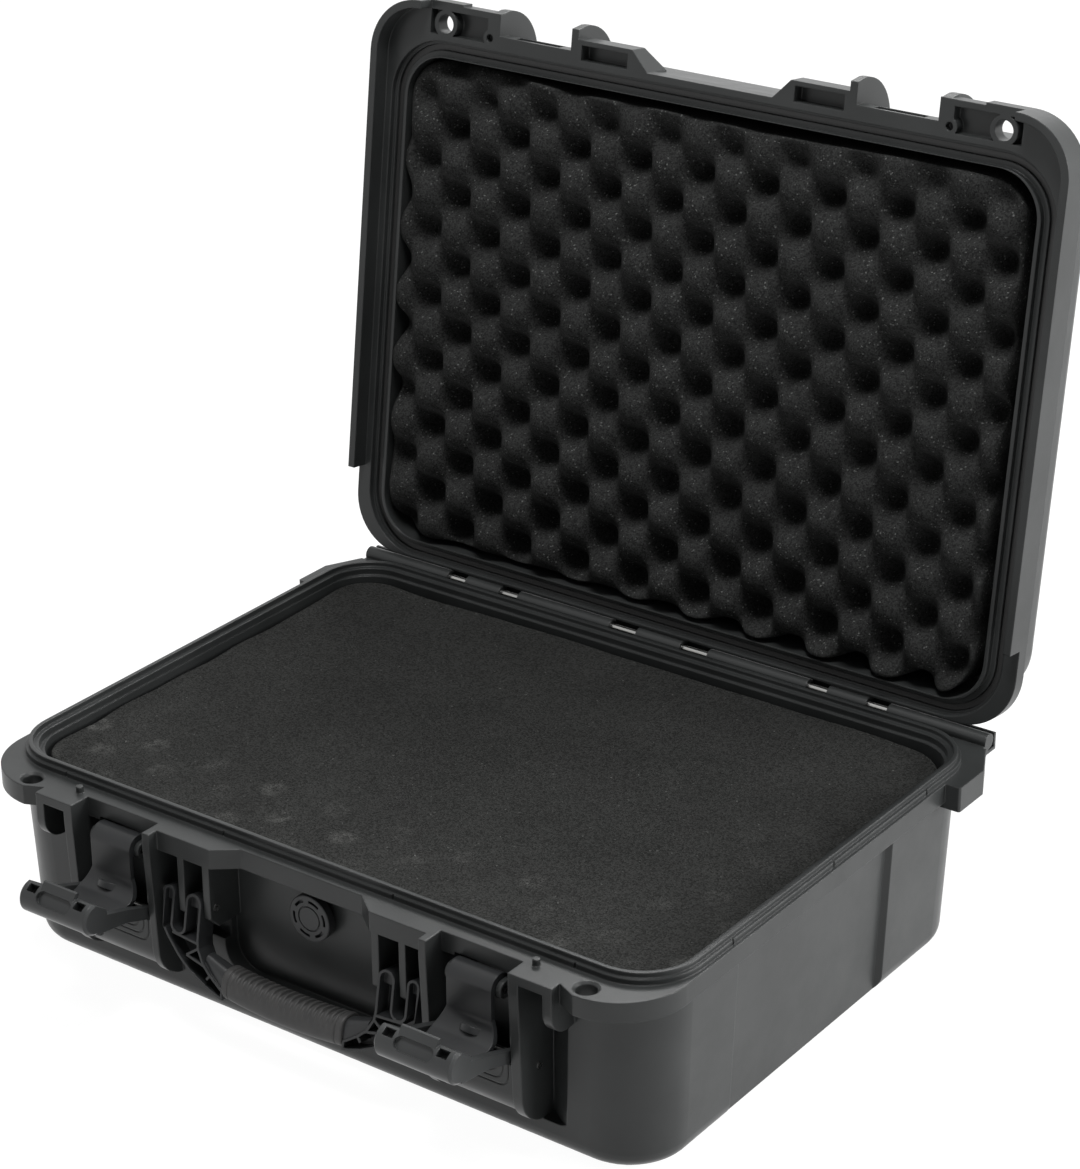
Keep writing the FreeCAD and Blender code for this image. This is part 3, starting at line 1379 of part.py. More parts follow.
def build_parts():
    """Name and solid of every piece, in its photographed place."""
    parts = {"base_shell": make_base_shell()}
    parts.update(make_base_foam())
    for name, shape in (("lid_shell", make_lid_shell()), ("lid_seal", make_lid_seal()),
                        ("lid_foam", make_lid_foam())):
        parts[name] = turned_x(shape, hinge_y, hinge_z, -lid_open_deg)
    for x0, x1, name in hinge_pin_spans():
        parts[name] = rod_x(hinge_pin_r, x0, x1, hinge_y, hinge_z)
    parts["handle_frame"] = make_handle_frame()
    parts["handle_grip"] = make_handle_grip()
    handle_rod = rod_x(handle_pin_r, inner_rib_x - inner_rib_half - over / 2, housing_in + inner_fin / 2,
                       *handle_pin)
    hook_rod = rod_x(hook_pin_r, pocket_in - inner_fin / 2, housing_out + over / 2, *hook_pin)
    lever_rod = rod_x(lever_pin_r, *lever_pin_span(), *lever_pin)
    frame = make_hook_frame()
    lever = make_latch_lever()
    for name, shape in (("handle_pin", handle_rod), ("latch_hook_pin", hook_rod),
                        ("latch_lever_pin", lever_rod), ("latch_hook", frame), ("latch_lever", lever)):
        parts[name + "_right"] = shape
        parts[name + "_left"] = mirrored(shape)
    parts["valve_knob"] = make_valve_knob()
    parts["valve_body"] = make_valve_body()
    parts["valve_seal"] = make_valve_seal()
    parts["valve_nut"] = make_valve_nut()
    parts["valve_membrane"] = make_valve_membrane()
    return parts


os.makedirs("parts", exist_ok=True)
for part_name, solid in build_parts().items():
    solid.exportStep(os.path.join("parts", part_name + ".step"))
    print(part_name, len(solid.Solids), round(solid.Volume / 1000, 1), solid.isValid())
print("hook swing", round(hook_swing_deg, 3), "bar closed", bar_closed)
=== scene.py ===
import json
import logging
import math
from dataclasses import dataclass, field, replace
from enum import Enum
from typing import Callable, Sequence

import bmesh
import bpy
import numpy as np
from mathutils import Matrix, Vector


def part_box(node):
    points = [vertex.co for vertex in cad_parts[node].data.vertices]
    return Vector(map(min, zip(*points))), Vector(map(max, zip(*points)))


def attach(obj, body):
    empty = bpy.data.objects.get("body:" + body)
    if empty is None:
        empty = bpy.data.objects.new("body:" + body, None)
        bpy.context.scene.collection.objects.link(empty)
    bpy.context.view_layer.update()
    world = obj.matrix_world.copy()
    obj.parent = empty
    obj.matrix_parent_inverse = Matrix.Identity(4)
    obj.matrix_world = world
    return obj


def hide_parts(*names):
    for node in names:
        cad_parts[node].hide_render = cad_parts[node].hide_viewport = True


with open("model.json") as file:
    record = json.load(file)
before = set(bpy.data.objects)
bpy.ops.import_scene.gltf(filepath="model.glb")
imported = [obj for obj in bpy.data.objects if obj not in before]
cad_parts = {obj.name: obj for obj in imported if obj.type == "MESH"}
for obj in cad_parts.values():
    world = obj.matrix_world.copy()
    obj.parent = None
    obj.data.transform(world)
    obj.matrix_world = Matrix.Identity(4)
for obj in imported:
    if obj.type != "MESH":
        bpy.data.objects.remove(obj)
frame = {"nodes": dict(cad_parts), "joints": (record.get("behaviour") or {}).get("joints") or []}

"""Looks of an open microphone case: moulded plastic shell, cut foam, ribbed grip, steel pins.

Lengths are in metres, in the frame of the solids: +X right, -Y front, +Z up.
"""

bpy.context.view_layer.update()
LOG = logging.getLogger("microphone_case")
MM = 0.001
TURN = 2.0 * math.pi
WHITE = (1.0, 1.0, 1.0, 1.0)

Colour = tuple[float, float, float]
Patch = tuple[np.ndarray, bool]


class Blend(Enum):
    """How two colours are blended."""

    OVER = "MIX"
    TIMES = "MULTIPLY"


def joint_of(name: str) -> dict:
    """Finds a joint of the solids.

    Args:
        name: the joint's name.

    Returns:
        The joint's entry, with its place, axis and range.
    """
    return next(entry for entry in frame["joints"] if entry["name"] == name)


def turned_about_x(points: np.ndarray, centre: Sequence[float], degrees: float) -> np.ndarray:
    """Turns points about an axis along X.

    Args:
        points: array of shape (..., 3).
        centre: a point on the axis.
        degrees: the turn, positive by the right-hand rule.

    Returns:
        The turned points, in an array of the same shape.
    """
    angle = math.radians(degrees)
    cosine, sine = math.cos(angle), math.sin(angle)
    y = points[..., 1] - centre[1]
    z = points[..., 2] - centre[2]
    turned_y = centre[1] + y * cosine - z * sine
    turned_z = centre[2] + y * sine + z * cosine
    return np.stack([points[..., 0], turned_y, turned_z], axis=-1)


def part_way(distance: np.ndarray, run: float) -> np.ndarray:
    """Distance as a share of a run, held between 0 and 1."""
    return np.clip(distance / run, 0.0, 1.0)


def round_edge(inside: np.ndarray, roll: float) -> np.ndarray:
    """Fall of a rounded edge as a share, along a quarter circle.

    Args:
        inside: distance inside the outline.
        roll: how far the rounding reaches in.

    Returns:
        1 on the outline, and 0 where the rounding ends.
    """
    return 1.0 - np.sqrt(np.clip(1.0 - (1.0 - part_way(inside, roll)) ** 2, 0.0, 1.0))


@dataclass(frozen=True)
class Ripple:
    """Smooth uneven waves about a level.

    Plane waves of drawn direction, phase and length are summed, over half their number.
    """

    length: float
    seed: int
    height: float = 1.0
    level: float = 0.0
    waves: int = 8
    shortest: float = 0.6
    longest: float = 1.6

    def at(self, x: np.ndarray, y: np.ndarray) -> np.ndarray:
        """The waves at some points.

        Args:
            x: first coordinate of each point.
            y: second coordinate of each point.

        Returns:
            Values within about a height of the level.
        """
        draw = np.random.default_rng(self.seed)
        total = np.zeros_like(x)
        for _ in range(self.waves):
            direction = draw.uniform(0.0, TURN)
            phase = draw.uniform(0.0, TURN)
            number = TURN / (self.length * draw.uniform(self.shortest, self.longest))
            total += np.sin(number * (x * math.cos(direction) + y * math.sin(direction)) + phase)
        return self.level + self.height * (total / (self.waves / 2.0))


@dataclass(frozen=True)
class Plan:
    """Rounded rectangle, seen from above, that a block of foam is cut to."""

    half: float
    front: float
    back: float
    corner: float
    centre: float = 0.0
    corner_rows: int = 12
    fewest_rows: int = 3

    @property
    def middle(self) -> float:
        """Place along Y half way from front to back."""
        return (self.front + self.back) / 2.0

    def rows(self, step: float) -> np.ndarray:
        """Rows from front to back: closer in the round corners, even between them.

        Args:
            step: spacing between the corners.

        Returns:
            The rows' places along Y, rising.
        """
        arc = self.corner * (1.0 - np.cos(np.linspace(0.0, math.pi / 2.0, self.corner_rows)))
        count = max(self.fewest_rows, int((self.back - self.front - 2.0 * self.corner) / step))
        straight = np.linspace(self.front + self.corner, self.back - self.corner, count)
        return np.concatenate([self.front + arc[:-1], straight, self.back - arc[:-1][::-1]])

    def grid(self, step: float) -> tuple[np.ndarray, np.ndarray]:
        """Grid over the plan: each row is stretched to the outline's half width at its place.

        Args:
            step: spacing.

        Returns:
            X and Y of the grid, in arrays of shape (rows, columns).
        """
        rows = self.rows(step)
        inside = np.minimum(rows - self.front, self.back - rows)
        shortfall = np.clip(self.corner - inside, 0.0, self.corner)
        width = self.half - self.corner + np.sqrt(np.maximum(self.corner ** 2 - shortfall ** 2, 0.0))
        columns = np.linspace(-1.0, 1.0, int(2.0 * self.half / step))
        x = self.centre + width[:, None] * columns[None, :]
        y = np.repeat(rows[:, None], columns.size, axis=1)
        return x, y

    def inside(self, x: np.ndarray, y: np.ndarray) -> np.ndarray:
        """Distance from points to the outline, as for a rounded box.

        Args:
            x: place across.
            y: place from front to back.

        Returns:
            The distance, positive inside.
        """
        dx = np.abs(x - self.centre) - (self.half - self.corner)
        dy = np.abs(y - self.middle) - ((self.back - self.front) / 2.0 - self.corner)
        outside = np.hypot(np.maximum(dx, 0.0), np.maximum(dy, 0.0))
        return self.corner - outside - np.minimum(np.maximum(dx, dy), 0.0)

    def drawn_in(self, x: np.ndarray, y: np.ndarray, draw: np.ndarray) -> tuple[np.ndarray, np.ndarray]:
        """Moves points towards the middle, in proportion to how far from it they lie.

        Args:
            x: place across.
            y: place from front to back.
            draw: how far a point would move if it lay on the outline.

        Returns:
            The moved X and Y.
        """
        moved_x = self.centre + (x - self.centre) * (1.0 - draw / self.half)
        moved_y = self.middle + (y - self.middle) * (1.0 - draw / (self.middle - self.front))
        return moved_x, moved_y


def border(grid: np.ndarray) -> np.ndarray:
    """The outer loop of a grid of points, in order round it, without a repeated point."""
    return np.concatenate([grid[0, :-1], grid[:-1, -1], grid[-1, :0:-1], grid[:0:-1, 0]])


def slab(face: np.ndarray, height: float, levels: int) -> list[Patch]:
    """Patches of a closed slab: a face, straight sides, and a flat back.

    Args:
        face: grid of the face's points.
        height: the back's Z.
        levels: rows of points on the sides.

    Returns:
        Each patch's grid, and whether its columns wrap round.
    """
    back = np.stack([face[..., 0], face[..., 1], np.full_like(face[..., 0], height)], axis=-1)
    share = np.linspace(0.0, 1.0, levels)[:, None, None]
    side = border(face)[None] * (1.0 - share) + border(back)[None] * share
    return [(face, False), (side, True), (back, False)]


def quads(rows: int, columns: int, first: int, wrap: bool) -> np.ndarray:
    """Corner numbers of a grid's faces.

    Args:
        rows: rows of points.
        columns: points in a row.
        first: number of the grid's first point.
        wrap: whether the last column joins the first.

    Returns:
        An array of shape (faces, 4).
    """
    across = columns if wrap else columns - 1
    row, column = np.meshgrid(np.arange(rows - 1), np.arange(across), indexing="ij")
    near = (column + 1) % columns
    start, end = row * columns, (row + 1) * columns
    corners = [start + column, start + near, end + near, end + column]
    return first + np.stack([corner.ravel() for corner in corners], axis=1)


def tint(piece: bpy.types.Object, name: str, rule: Callable[[np.ndarray], np.ndarray]) -> None:
    """Stores a number from 0 to 1 at each point of a piece, for its material.

    Args:
        piece: the object.
        name: the attribute's name.
        rule: gives the numbers for an array of points of shape (count, 3).
    """
    mesh = piece.data
    places = np.empty(len(mesh.vertices) * 3)
    mesh.vertices.foreach_get("co", places)
    values = np.clip(rule(places.reshape(-1, 3)), 0.0, 1.0)
    mesh.attributes.new(name, "FLOAT", "POINT").data.foreach_set("value", values.astype(np.float32))


def mesh_object(name: str, patches: Sequence[Patch], merge: float = 1e-6) -> bpy.types.Object:
    """Makes one smooth-shaded object out of point grids, closed where their borders meet.

    Args:
        name: the object's name.
        patches: each grid of shape (rows, columns, 3), and whether its columns wrap round.
        merge: points nearer than this become one.

    Returns:
        The object, at the origin, with its place in its mesh.
    """
    points, faces, count = [], [], 0
    for grid, wrap in patches:
        rows, columns = grid.shape[:2]
        points.append(grid.reshape(-1, 3))
        faces.append(quads(rows, columns, count, wrap))
        count += rows * columns
    mesh = bpy.data.meshes.new(name)
    mesh.from_pydata(np.concatenate(points).tolist(), [], np.concatenate(faces).tolist())
    shape = bmesh.new()
    shape.from_mesh(mesh)
    bmesh.ops.remove_doubles(shape, verts=shape.verts, dist=merge)
    bmesh.ops.dissolve_degenerate(shape, dist=merge / 2.0, edges=shape.edges)
    bmesh.ops.recalc_face_normals(shape, faces=shape.faces)
    shape.to_mesh(mesh)
    shape.free()
    mesh.polygons.foreach_set("use_smooth", np.ones(len(mesh.polygons), dtype=bool))
    made = bpy.data.objects.new(name, mesh)
    bpy.context.scene.collection.objects.link(made)
    return made


def grey(level: float) -> Colour:
    """A neutral colour of one level."""
    return (level, level, level)


@dataclass(frozen=True)
class Noise:
    """Noise in a material: how wide its features are, how much finer detail it has, how strong that is."""

    size: float
    detail: float = 3.0
    rough: float = 0.55


class Recipe:
    """A material being put together, node by node.

    The three numbers are the places of the two colours among a mix node's inputs, and of its colour among
    its outputs.
    """

    MIX_FIRST = 6
    MIX_SECOND = 7
    MIX_RESULT = 2

    def __init__(self, name: str) -> None:
        """Starts an empty material with one main shader.

        Args:
            name: the material's name.
        """
        self.material = bpy.data.materials.new(name)
        self.material.use_nodes = True
        self.tree = self.material.node_tree
        self.tree.nodes.clear()
        self.shader = self.add("ShaderNodeBsdfPrincipled")
        self.output = self.add("ShaderNodeOutputMaterial")
        self.join(self.shader, "BSDF", self.output, "Surface")
        self.place = self.add("ShaderNodeTexCoord")

    def add(self, kind: str, **settings: object) -> bpy.types.Node:
        """Adds a node.

        Args:
            kind: the node's type.
            settings: its options and input values, by name.

        Returns:
            The node.
        """
        node = self.tree.nodes.new(kind)
        for key, value in settings.items():
            if key in node.inputs:
                node.inputs[key].default_value = value
            else:
                setattr(node, key, value)
        return node

    def join(self, source: bpy.types.Node, output: str | int, target: bpy.types.Node,
             entry: str | int) -> None:
        """Links an output to an input."""
        self.tree.links.new(source.outputs[output], target.inputs[entry])

    def feed(self, source: bpy.types.Node, output: str | int, entry: str) -> None:
        """Links an output to an input of the main shader."""
        self.join(source, output, self.shader, entry)

    def fix(self, entry: str, value: float) -> None:
        """Sets an input of the main shader that is the same all over the surface."""
        self.shader.inputs[entry].default_value = value

    def noise(self, noise: Noise) -> bpy.types.Node:
        """Adds noise on the piece's own coordinates.

        Args:
            noise: its size in metres, detail and roughness.

        Returns:
            The noise node.
        """
        node = self.add("ShaderNodeTexNoise", Scale=1.0 / noise.size, Detail=noise.detail,
                        Roughness=noise.rough)
        self.join(self.place, "Object", node, "Vector")
        return node

    def cells(self, size: float) -> bpy.types.Node:
        """Adds a pattern of round cells on the piece's own coordinates.

        Args:
            size: about how wide a cell is, in metres.

        Returns:
            The cell node.
        """
        node = self.add("ShaderNodeTexVoronoi", Scale=1.0 / size, Randomness=1.0)
        self.join(self.place, "Object", node, "Vector")
        return node

    def ramp(self, source: bpy.types.Node, output: str | int, stops: Sequence[float],
             colours: Sequence[Colour]) -> bpy.types.Node:
        """Adds a colour ramp driven by an output.

        Args:
            source: the node that drives it.
            output: which of its outputs.
            stops: places from 0 to 1.
            colours: the linear colour at each stop.

        Returns:
            The ramp.
        """
        node = self.add("ShaderNodeValToRGB")
        while len(node.color_ramp.elements) < len(stops):
            node.color_ramp.elements.new(0.5)
        for element, place, colour in zip(node.color_ramp.elements, stops, colours):
            element.position = place
            element.color = (*colour, 1.0)
        self.join(source, output, node, "Fac")
        return node

    def mix(self, first: bpy.types.Node, second: bpy.types.Node, share: float | bpy.types.NodeSocket,
            mode: Blend = Blend.OVER) -> bpy.types.Node:
        """Blends the colours of two nodes.

        Args:
            first: the colour underneath.
            second: the colour on top.
            share: how much of the second shows, a number or an output.
            mode: how they are blended.

        Returns:
            The mix node.
        """
        node = self.add("ShaderNodeMix", data_type="RGBA", blend_type=mode.value)
        if isinstance(share, bpy.types.NodeSocket):
            self.tree.links.new(share, node.inputs[0])
        else:
            node.inputs[0].default_value = share
        for source, entry in ((first, self.MIX_FIRST), (second, self.MIX_SECOND)):
            output = self.MIX_RESULT if source.bl_idname == "ShaderNodeMix" else 0
            self.join(source, output, node, entry)
        return node

    def bump(self, source: bpy.types.Node, output: str | int, height: float, strength: float,
             before: bpy.types.Node | None = None) -> bpy.types.Node:
        """Adds a bump.

        Args:
            source: the node that drives it.
            output: which of its outputs.
            height: its height in metres.
            strength: how much of it shows, from 0 to 1.
            before: a node whose normal it stands on, if any.

        Returns:
            The bump node.
        """
        node = self.add("ShaderNodeBump", Strength=strength, Distance=height)
        self.join(source, output, node, "Height")
        if before is not None:
            self.join(before, "Normal", node, "Normal")
        return node

    def rounded(self, radius: float, samples: int = 4) -> bpy.types.Node:
        """Adds edge rounding of a radius in metres, which catches light as a moulded edge does."""
        return self.add("ShaderNodeBevel", samples=samples, Radius=radius)


@dataclass(frozen=True)
class MouldedPlastic:
    """Satin near-black moulding with a fine grain, softly rounded edges and faint handling marks."""

    name: str
    colour: Colour = (0.021, 0.0225, 0.0225)
    pale: Colour = (0.029, 0.0308, 0.0308)
    cloud: Noise = Noise(60.0 * MM, detail=4.0)
    cloud_stops: tuple[float, float] = (0.35, 0.70)
    roughness: tuple[float, float] = (0.30, 0.41)
    gloss: Noise = Noise(22.0 * MM, detail=5.0, rough=0.65)
    gloss_stops: tuple[float, float] = (0.30, 0.75)
    grain: Noise = Noise(0.55 * MM, detail=2.0, rough=0.5)
    grain_height: float = 0.02 * MM
    grain_strength: float = 0.6
    edge: float = 1.3 * MM
    specular: float = 0.30

    def make(self) -> bpy.types.Material:
        """Builds the material.

        Returns:
            Cloudy tone and cloudy gloss, with grain over rounded edges.
        """
        recipe = Recipe(self.name)
        tone = recipe.ramp(recipe.noise(self.cloud), "Fac", self.cloud_stops, (self.colour, self.pale))
        recipe.feed(tone, "Color", "Base Color")
        levels = [grey(level) for level in self.roughness]
        level = recipe.ramp(recipe.noise(self.gloss), "Fac", self.gloss_stops, levels)
        recipe.feed(level, "Color", "Roughness")
        edge = recipe.rounded(self.edge)
        bump = recipe.bump(recipe.noise(self.grain), "Fac", self.grain_height, self.grain_strength, edge)
        recipe.feed(bump, "Normal", "Normal")
        recipe.fix("Specular IOR Level", self.specular)
        return recipe.material


@dataclass(frozen=True)
class CutFoam:
    """Open-cell charcoal foam: matt, speckled, with small torn cells, painted glints and painted shade in its
    pits.
    """

    name: str
    dark: Colour = (0.0138, 0.0141, 0.0135)
    # Rare pale cells: the foam's own paler specks, which also paint in the glints of lit cells.
    light: Colour = (0.0302, 0.0307, 0.0296)
    speck_and_glint: Colour = (0.085, 0.087, 0.083)
    rubbed: Colour = (0.072, 0.072, 0.069)
    # Share of the colour left at the bottom of a pit: painted shade.
    pit: float = 0.42
    tone_stops: tuple[float, float] = (0.20, 0.70)
    rare: float = 0.93
    rare_run: float = 0.05
    worn_stops: tuple[float, float] = (0.15, 0.75)
    dust: Noise = Noise(45.0 * MM, detail=5.0, rough=0.6)
    dust_stops: tuple[float, float] = (0.30, 0.72)
    dust_levels: tuple[float, float] = (0.86, 1.12)
    cell: float = 0.95 * MM
    cell_height: float = 0.35 * MM
    hole_strength: float = 0.6
    fibre_share: float = 0.7
    fibre_rough: float = 0.7
    fibre_strength: float = 0.5
    roughness: float = 0.95
    specular: float = 0.06

    def make(self) -> bpy.types.Material:
        """Builds the material.

        Each cell has its own tone, rare ones are pale specks that also paint in the glints of lit cells, and
        dust clouds drift over them. The piece's own rub attribute pales the cells, and its pit attribute
        paints shade into them, darker down the pits.

        Returns:
            The material.
        """
        recipe = Recipe(self.name)
        cells = recipe.cells(self.cell)
        stops = (*self.tone_stops, self.rare, self.rare + self.rare_run)
        tone = recipe.ramp(cells, "Color", stops, (self.dark, self.light, self.light, self.speck_and_glint))
        clouds = [grey(level) for level in self.dust_levels]
        cloud = recipe.ramp(recipe.noise(self.dust), "Fac", self.dust_stops, clouds)
        tone = recipe.mix(tone, cloud, 1.0, Blend.TIMES)
        worn = recipe.ramp(cells, "Color", self.worn_stops, (self.light, self.rubbed))
        rub = recipe.add("ShaderNodeAttribute", attribute_name="rub")
        tone = recipe.mix(tone, worn, rub.outputs["Fac"])
        # Painted shade: the colour darkens down the pits as the pit attribute grows.
        pit = recipe.add("ShaderNodeAttribute", attribute_name="pit")
        shade = recipe.ramp(pit, "Fac", (0.0, 1.0), (grey(1.0), grey(self.pit)))
        tone = recipe.mix(tone, shade, 1.0, Blend.TIMES)
        recipe.feed(tone, Recipe.MIX_RESULT, "Base Color")
        holes = recipe.bump(cells, "Distance", self.cell_height, self.hole_strength)
        fibres = recipe.noise(Noise(self.cell * self.fibre_share, rough=self.fibre_rough))
        torn = recipe.bump(fibres, "Fac", self.cell_height, self.fibre_strength, holes)
        recipe.feed(torn, "Normal", "Normal")
        recipe.fix("Roughness", self.roughness)
        recipe.fix("Specular IOR Level", self.specular)
        return recipe.material


@dataclass(frozen=True)
class SoftRubber:
    """Dark moulded rubber with a dry, dusty surface."""

    name: str
    colour: Colour = (0.020, 0.020, 0.020)
    pale: Colour = (0.034, 0.033, 0.032)
    dust: Noise = Noise(9.0 * MM, detail=6.0, rough=0.7)
    dust_stops: tuple[float, float] = (0.35, 0.75)
    grain: float = 0.8 * MM
    grain_height: float = 0.06 * MM
    grain_strength: float = 0.5
    roughness: float = 0.58

    def make(self) -> bpy.types.Material:
        """Builds the material.

        Returns:
            Dusty tone over a fine leathery grain.
        """
        recipe = Recipe(self.name)
        tone = recipe.ramp(recipe.noise(self.dust), "Fac", self.dust_stops, (self.colour, self.pale))
        recipe.feed(tone, "Color", "Base Color")
        bump = recipe.bump(recipe.cells(self.grain), "Distance", self.grain_height, self.grain_strength)
        recipe.feed(bump, "Normal", "Normal")
        recipe.fix("Roughness", self.roughness)
        return recipe.material


@dataclass(frozen=True)
class DrawnSteel:
    """Bright drawn wire steel with fine marks along X."""

    name: str
    colour: Colour = (0.40, 0.40, 0.39)
    dull: float = 0.72
    stretch: tuple[float, float, float] = (20.0, 900.0, 900.0)
    detail: float = 4.0
    stops: tuple[float, float] = (0.3, 0.7)
    roughness: tuple[float, float] = (0.34, 0.20)

    def make(self) -> bpy.types.Material:
        """Builds the material.

        Returns:
            Noise stretched along X that drives tone and gloss.
        """
        recipe = Recipe(self.name)
        stretch = recipe.add("ShaderNodeMapping", Scale=self.stretch)
        recipe.join(recipe.place, "Object", stretch, "Vector")
        marks = recipe.add("ShaderNodeTexNoise", Scale=1.0, Detail=self.detail)
        recipe.join(stretch, "Vector", marks, "Vector")
        darker = tuple(self.dull * part for part in self.colour)
        tone = recipe.ramp(marks, "Fac", self.stops, (darker, self.colour))
        recipe.feed(tone, "Color", "Base Color")
        gloss = recipe.ramp(marks, "Fac", self.stops, [grey(level) for level in self.roughness])
        recipe.feed(gloss, "Color", "Roughness")
        recipe.fix("Metallic", 1.0)
        return recipe.material


@dataclass(frozen=True)
class PaleMembrane:
    """White breathable sheet with a fine felt texture."""

    name: str
    colour: Colour = (0.62, 0.62, 0.60)
    pale: Colour = (0.78, 0.78, 0.76)
    felt: Noise = Noise(0.3 * MM, detail=4.0, rough=0.7)
    felt_stops: tuple[float, float] = (0.3, 0.7)
    felt_height: float = 0.05 * MM
    felt_strength: float = 0.5
    roughness: float = 0.8

    def make(self) -> bpy.types.Material:
        """Builds the material.

        Returns:
            Off-white with a felt bump.
        """
        recipe = Recipe(self.name)
        felt = recipe.noise(self.felt)
        tone = recipe.ramp(felt, "Fac", self.felt_stops, (self.colour, self.pale))
        recipe.feed(tone, "Color", "Base Color")
        bump = recipe.bump(felt, "Fac", self.felt_height, self.felt_strength)
        recipe.feed(bump, "Normal", "Normal")
        recipe.fix("Roughness", self.roughness)
        return recipe.material


@dataclass
class Finishes:
    """Every finish of the case, made once."""

    shell: bpy.types.Material = field(init=False)
    hardware: bpy.types.Material = field(init=False)
    latch_tone_and_light: bpy.types.Material = field(init=False)
    foam: bpy.types.Material = field(init=False)
    crate: bpy.types.Material = field(init=False)
    rubber: bpy.types.Material = field(init=False)
    seal: bpy.types.Material = field(init=False)
    steel: bpy.types.Material = field(init=False)
    membrane: bpy.types.Material = field(init=False)

    def __post_init__(self) -> None:
        """Makes the materials."""
        self.shell = MouldedPlastic("shell_plastic").make()
        self.hardware = MouldedPlastic("hardware_plastic", colour=(0.018, 0.019, 0.020),
                                       pale=(0.026, 0.027, 0.028), roughness=(0.30, 0.40),
                                       edge=0.7 * MM).make()
        # Paler plastic for the hook frames: a paler tone of their own, plus painted light for the light their
        # upward-facing bars catch.
        self.latch_tone_and_light = MouldedPlastic("latch_plastic", colour=(0.030, 0.0315, 0.032),
                                    pale=(0.042, 0.044, 0.0445), roughness=(0.28, 0.38),
                                    edge=0.7 * MM).make()
        self.foam = CutFoam("charcoal_foam").make()
        # Crate foam: brighter specks that also paint in glints, and painted shade in its pits.
        self.crate = CutFoam("crate_foam", dark=(0.015, 0.0154, 0.0152), light=(0.034, 0.0348, 0.0342),
                             speck_and_glint=(0.115, 0.118, 0.115), pit=0.52, rare=0.87, cell=0.85 * MM).make()
        self.rubber = SoftRubber("grip_rubber").make()
        self.seal = SoftRubber("seal_rubber", colour=grey(0.010), pale=grey(0.016), roughness=0.5).make()
        self.steel = DrawnSteel("pin_steel").make()
        self.membrane = PaleMembrane("vent_membrane").make()

    def dress(self, node: str, material: bpy.types.Material) -> None:
        """Gives a solid's shown mesh its finish.

        Args:
            node: the solid's name.
            material: its material.
        """
        slots = frame["nodes"][node].data.materials
        slots.clear()
        slots.append(material)


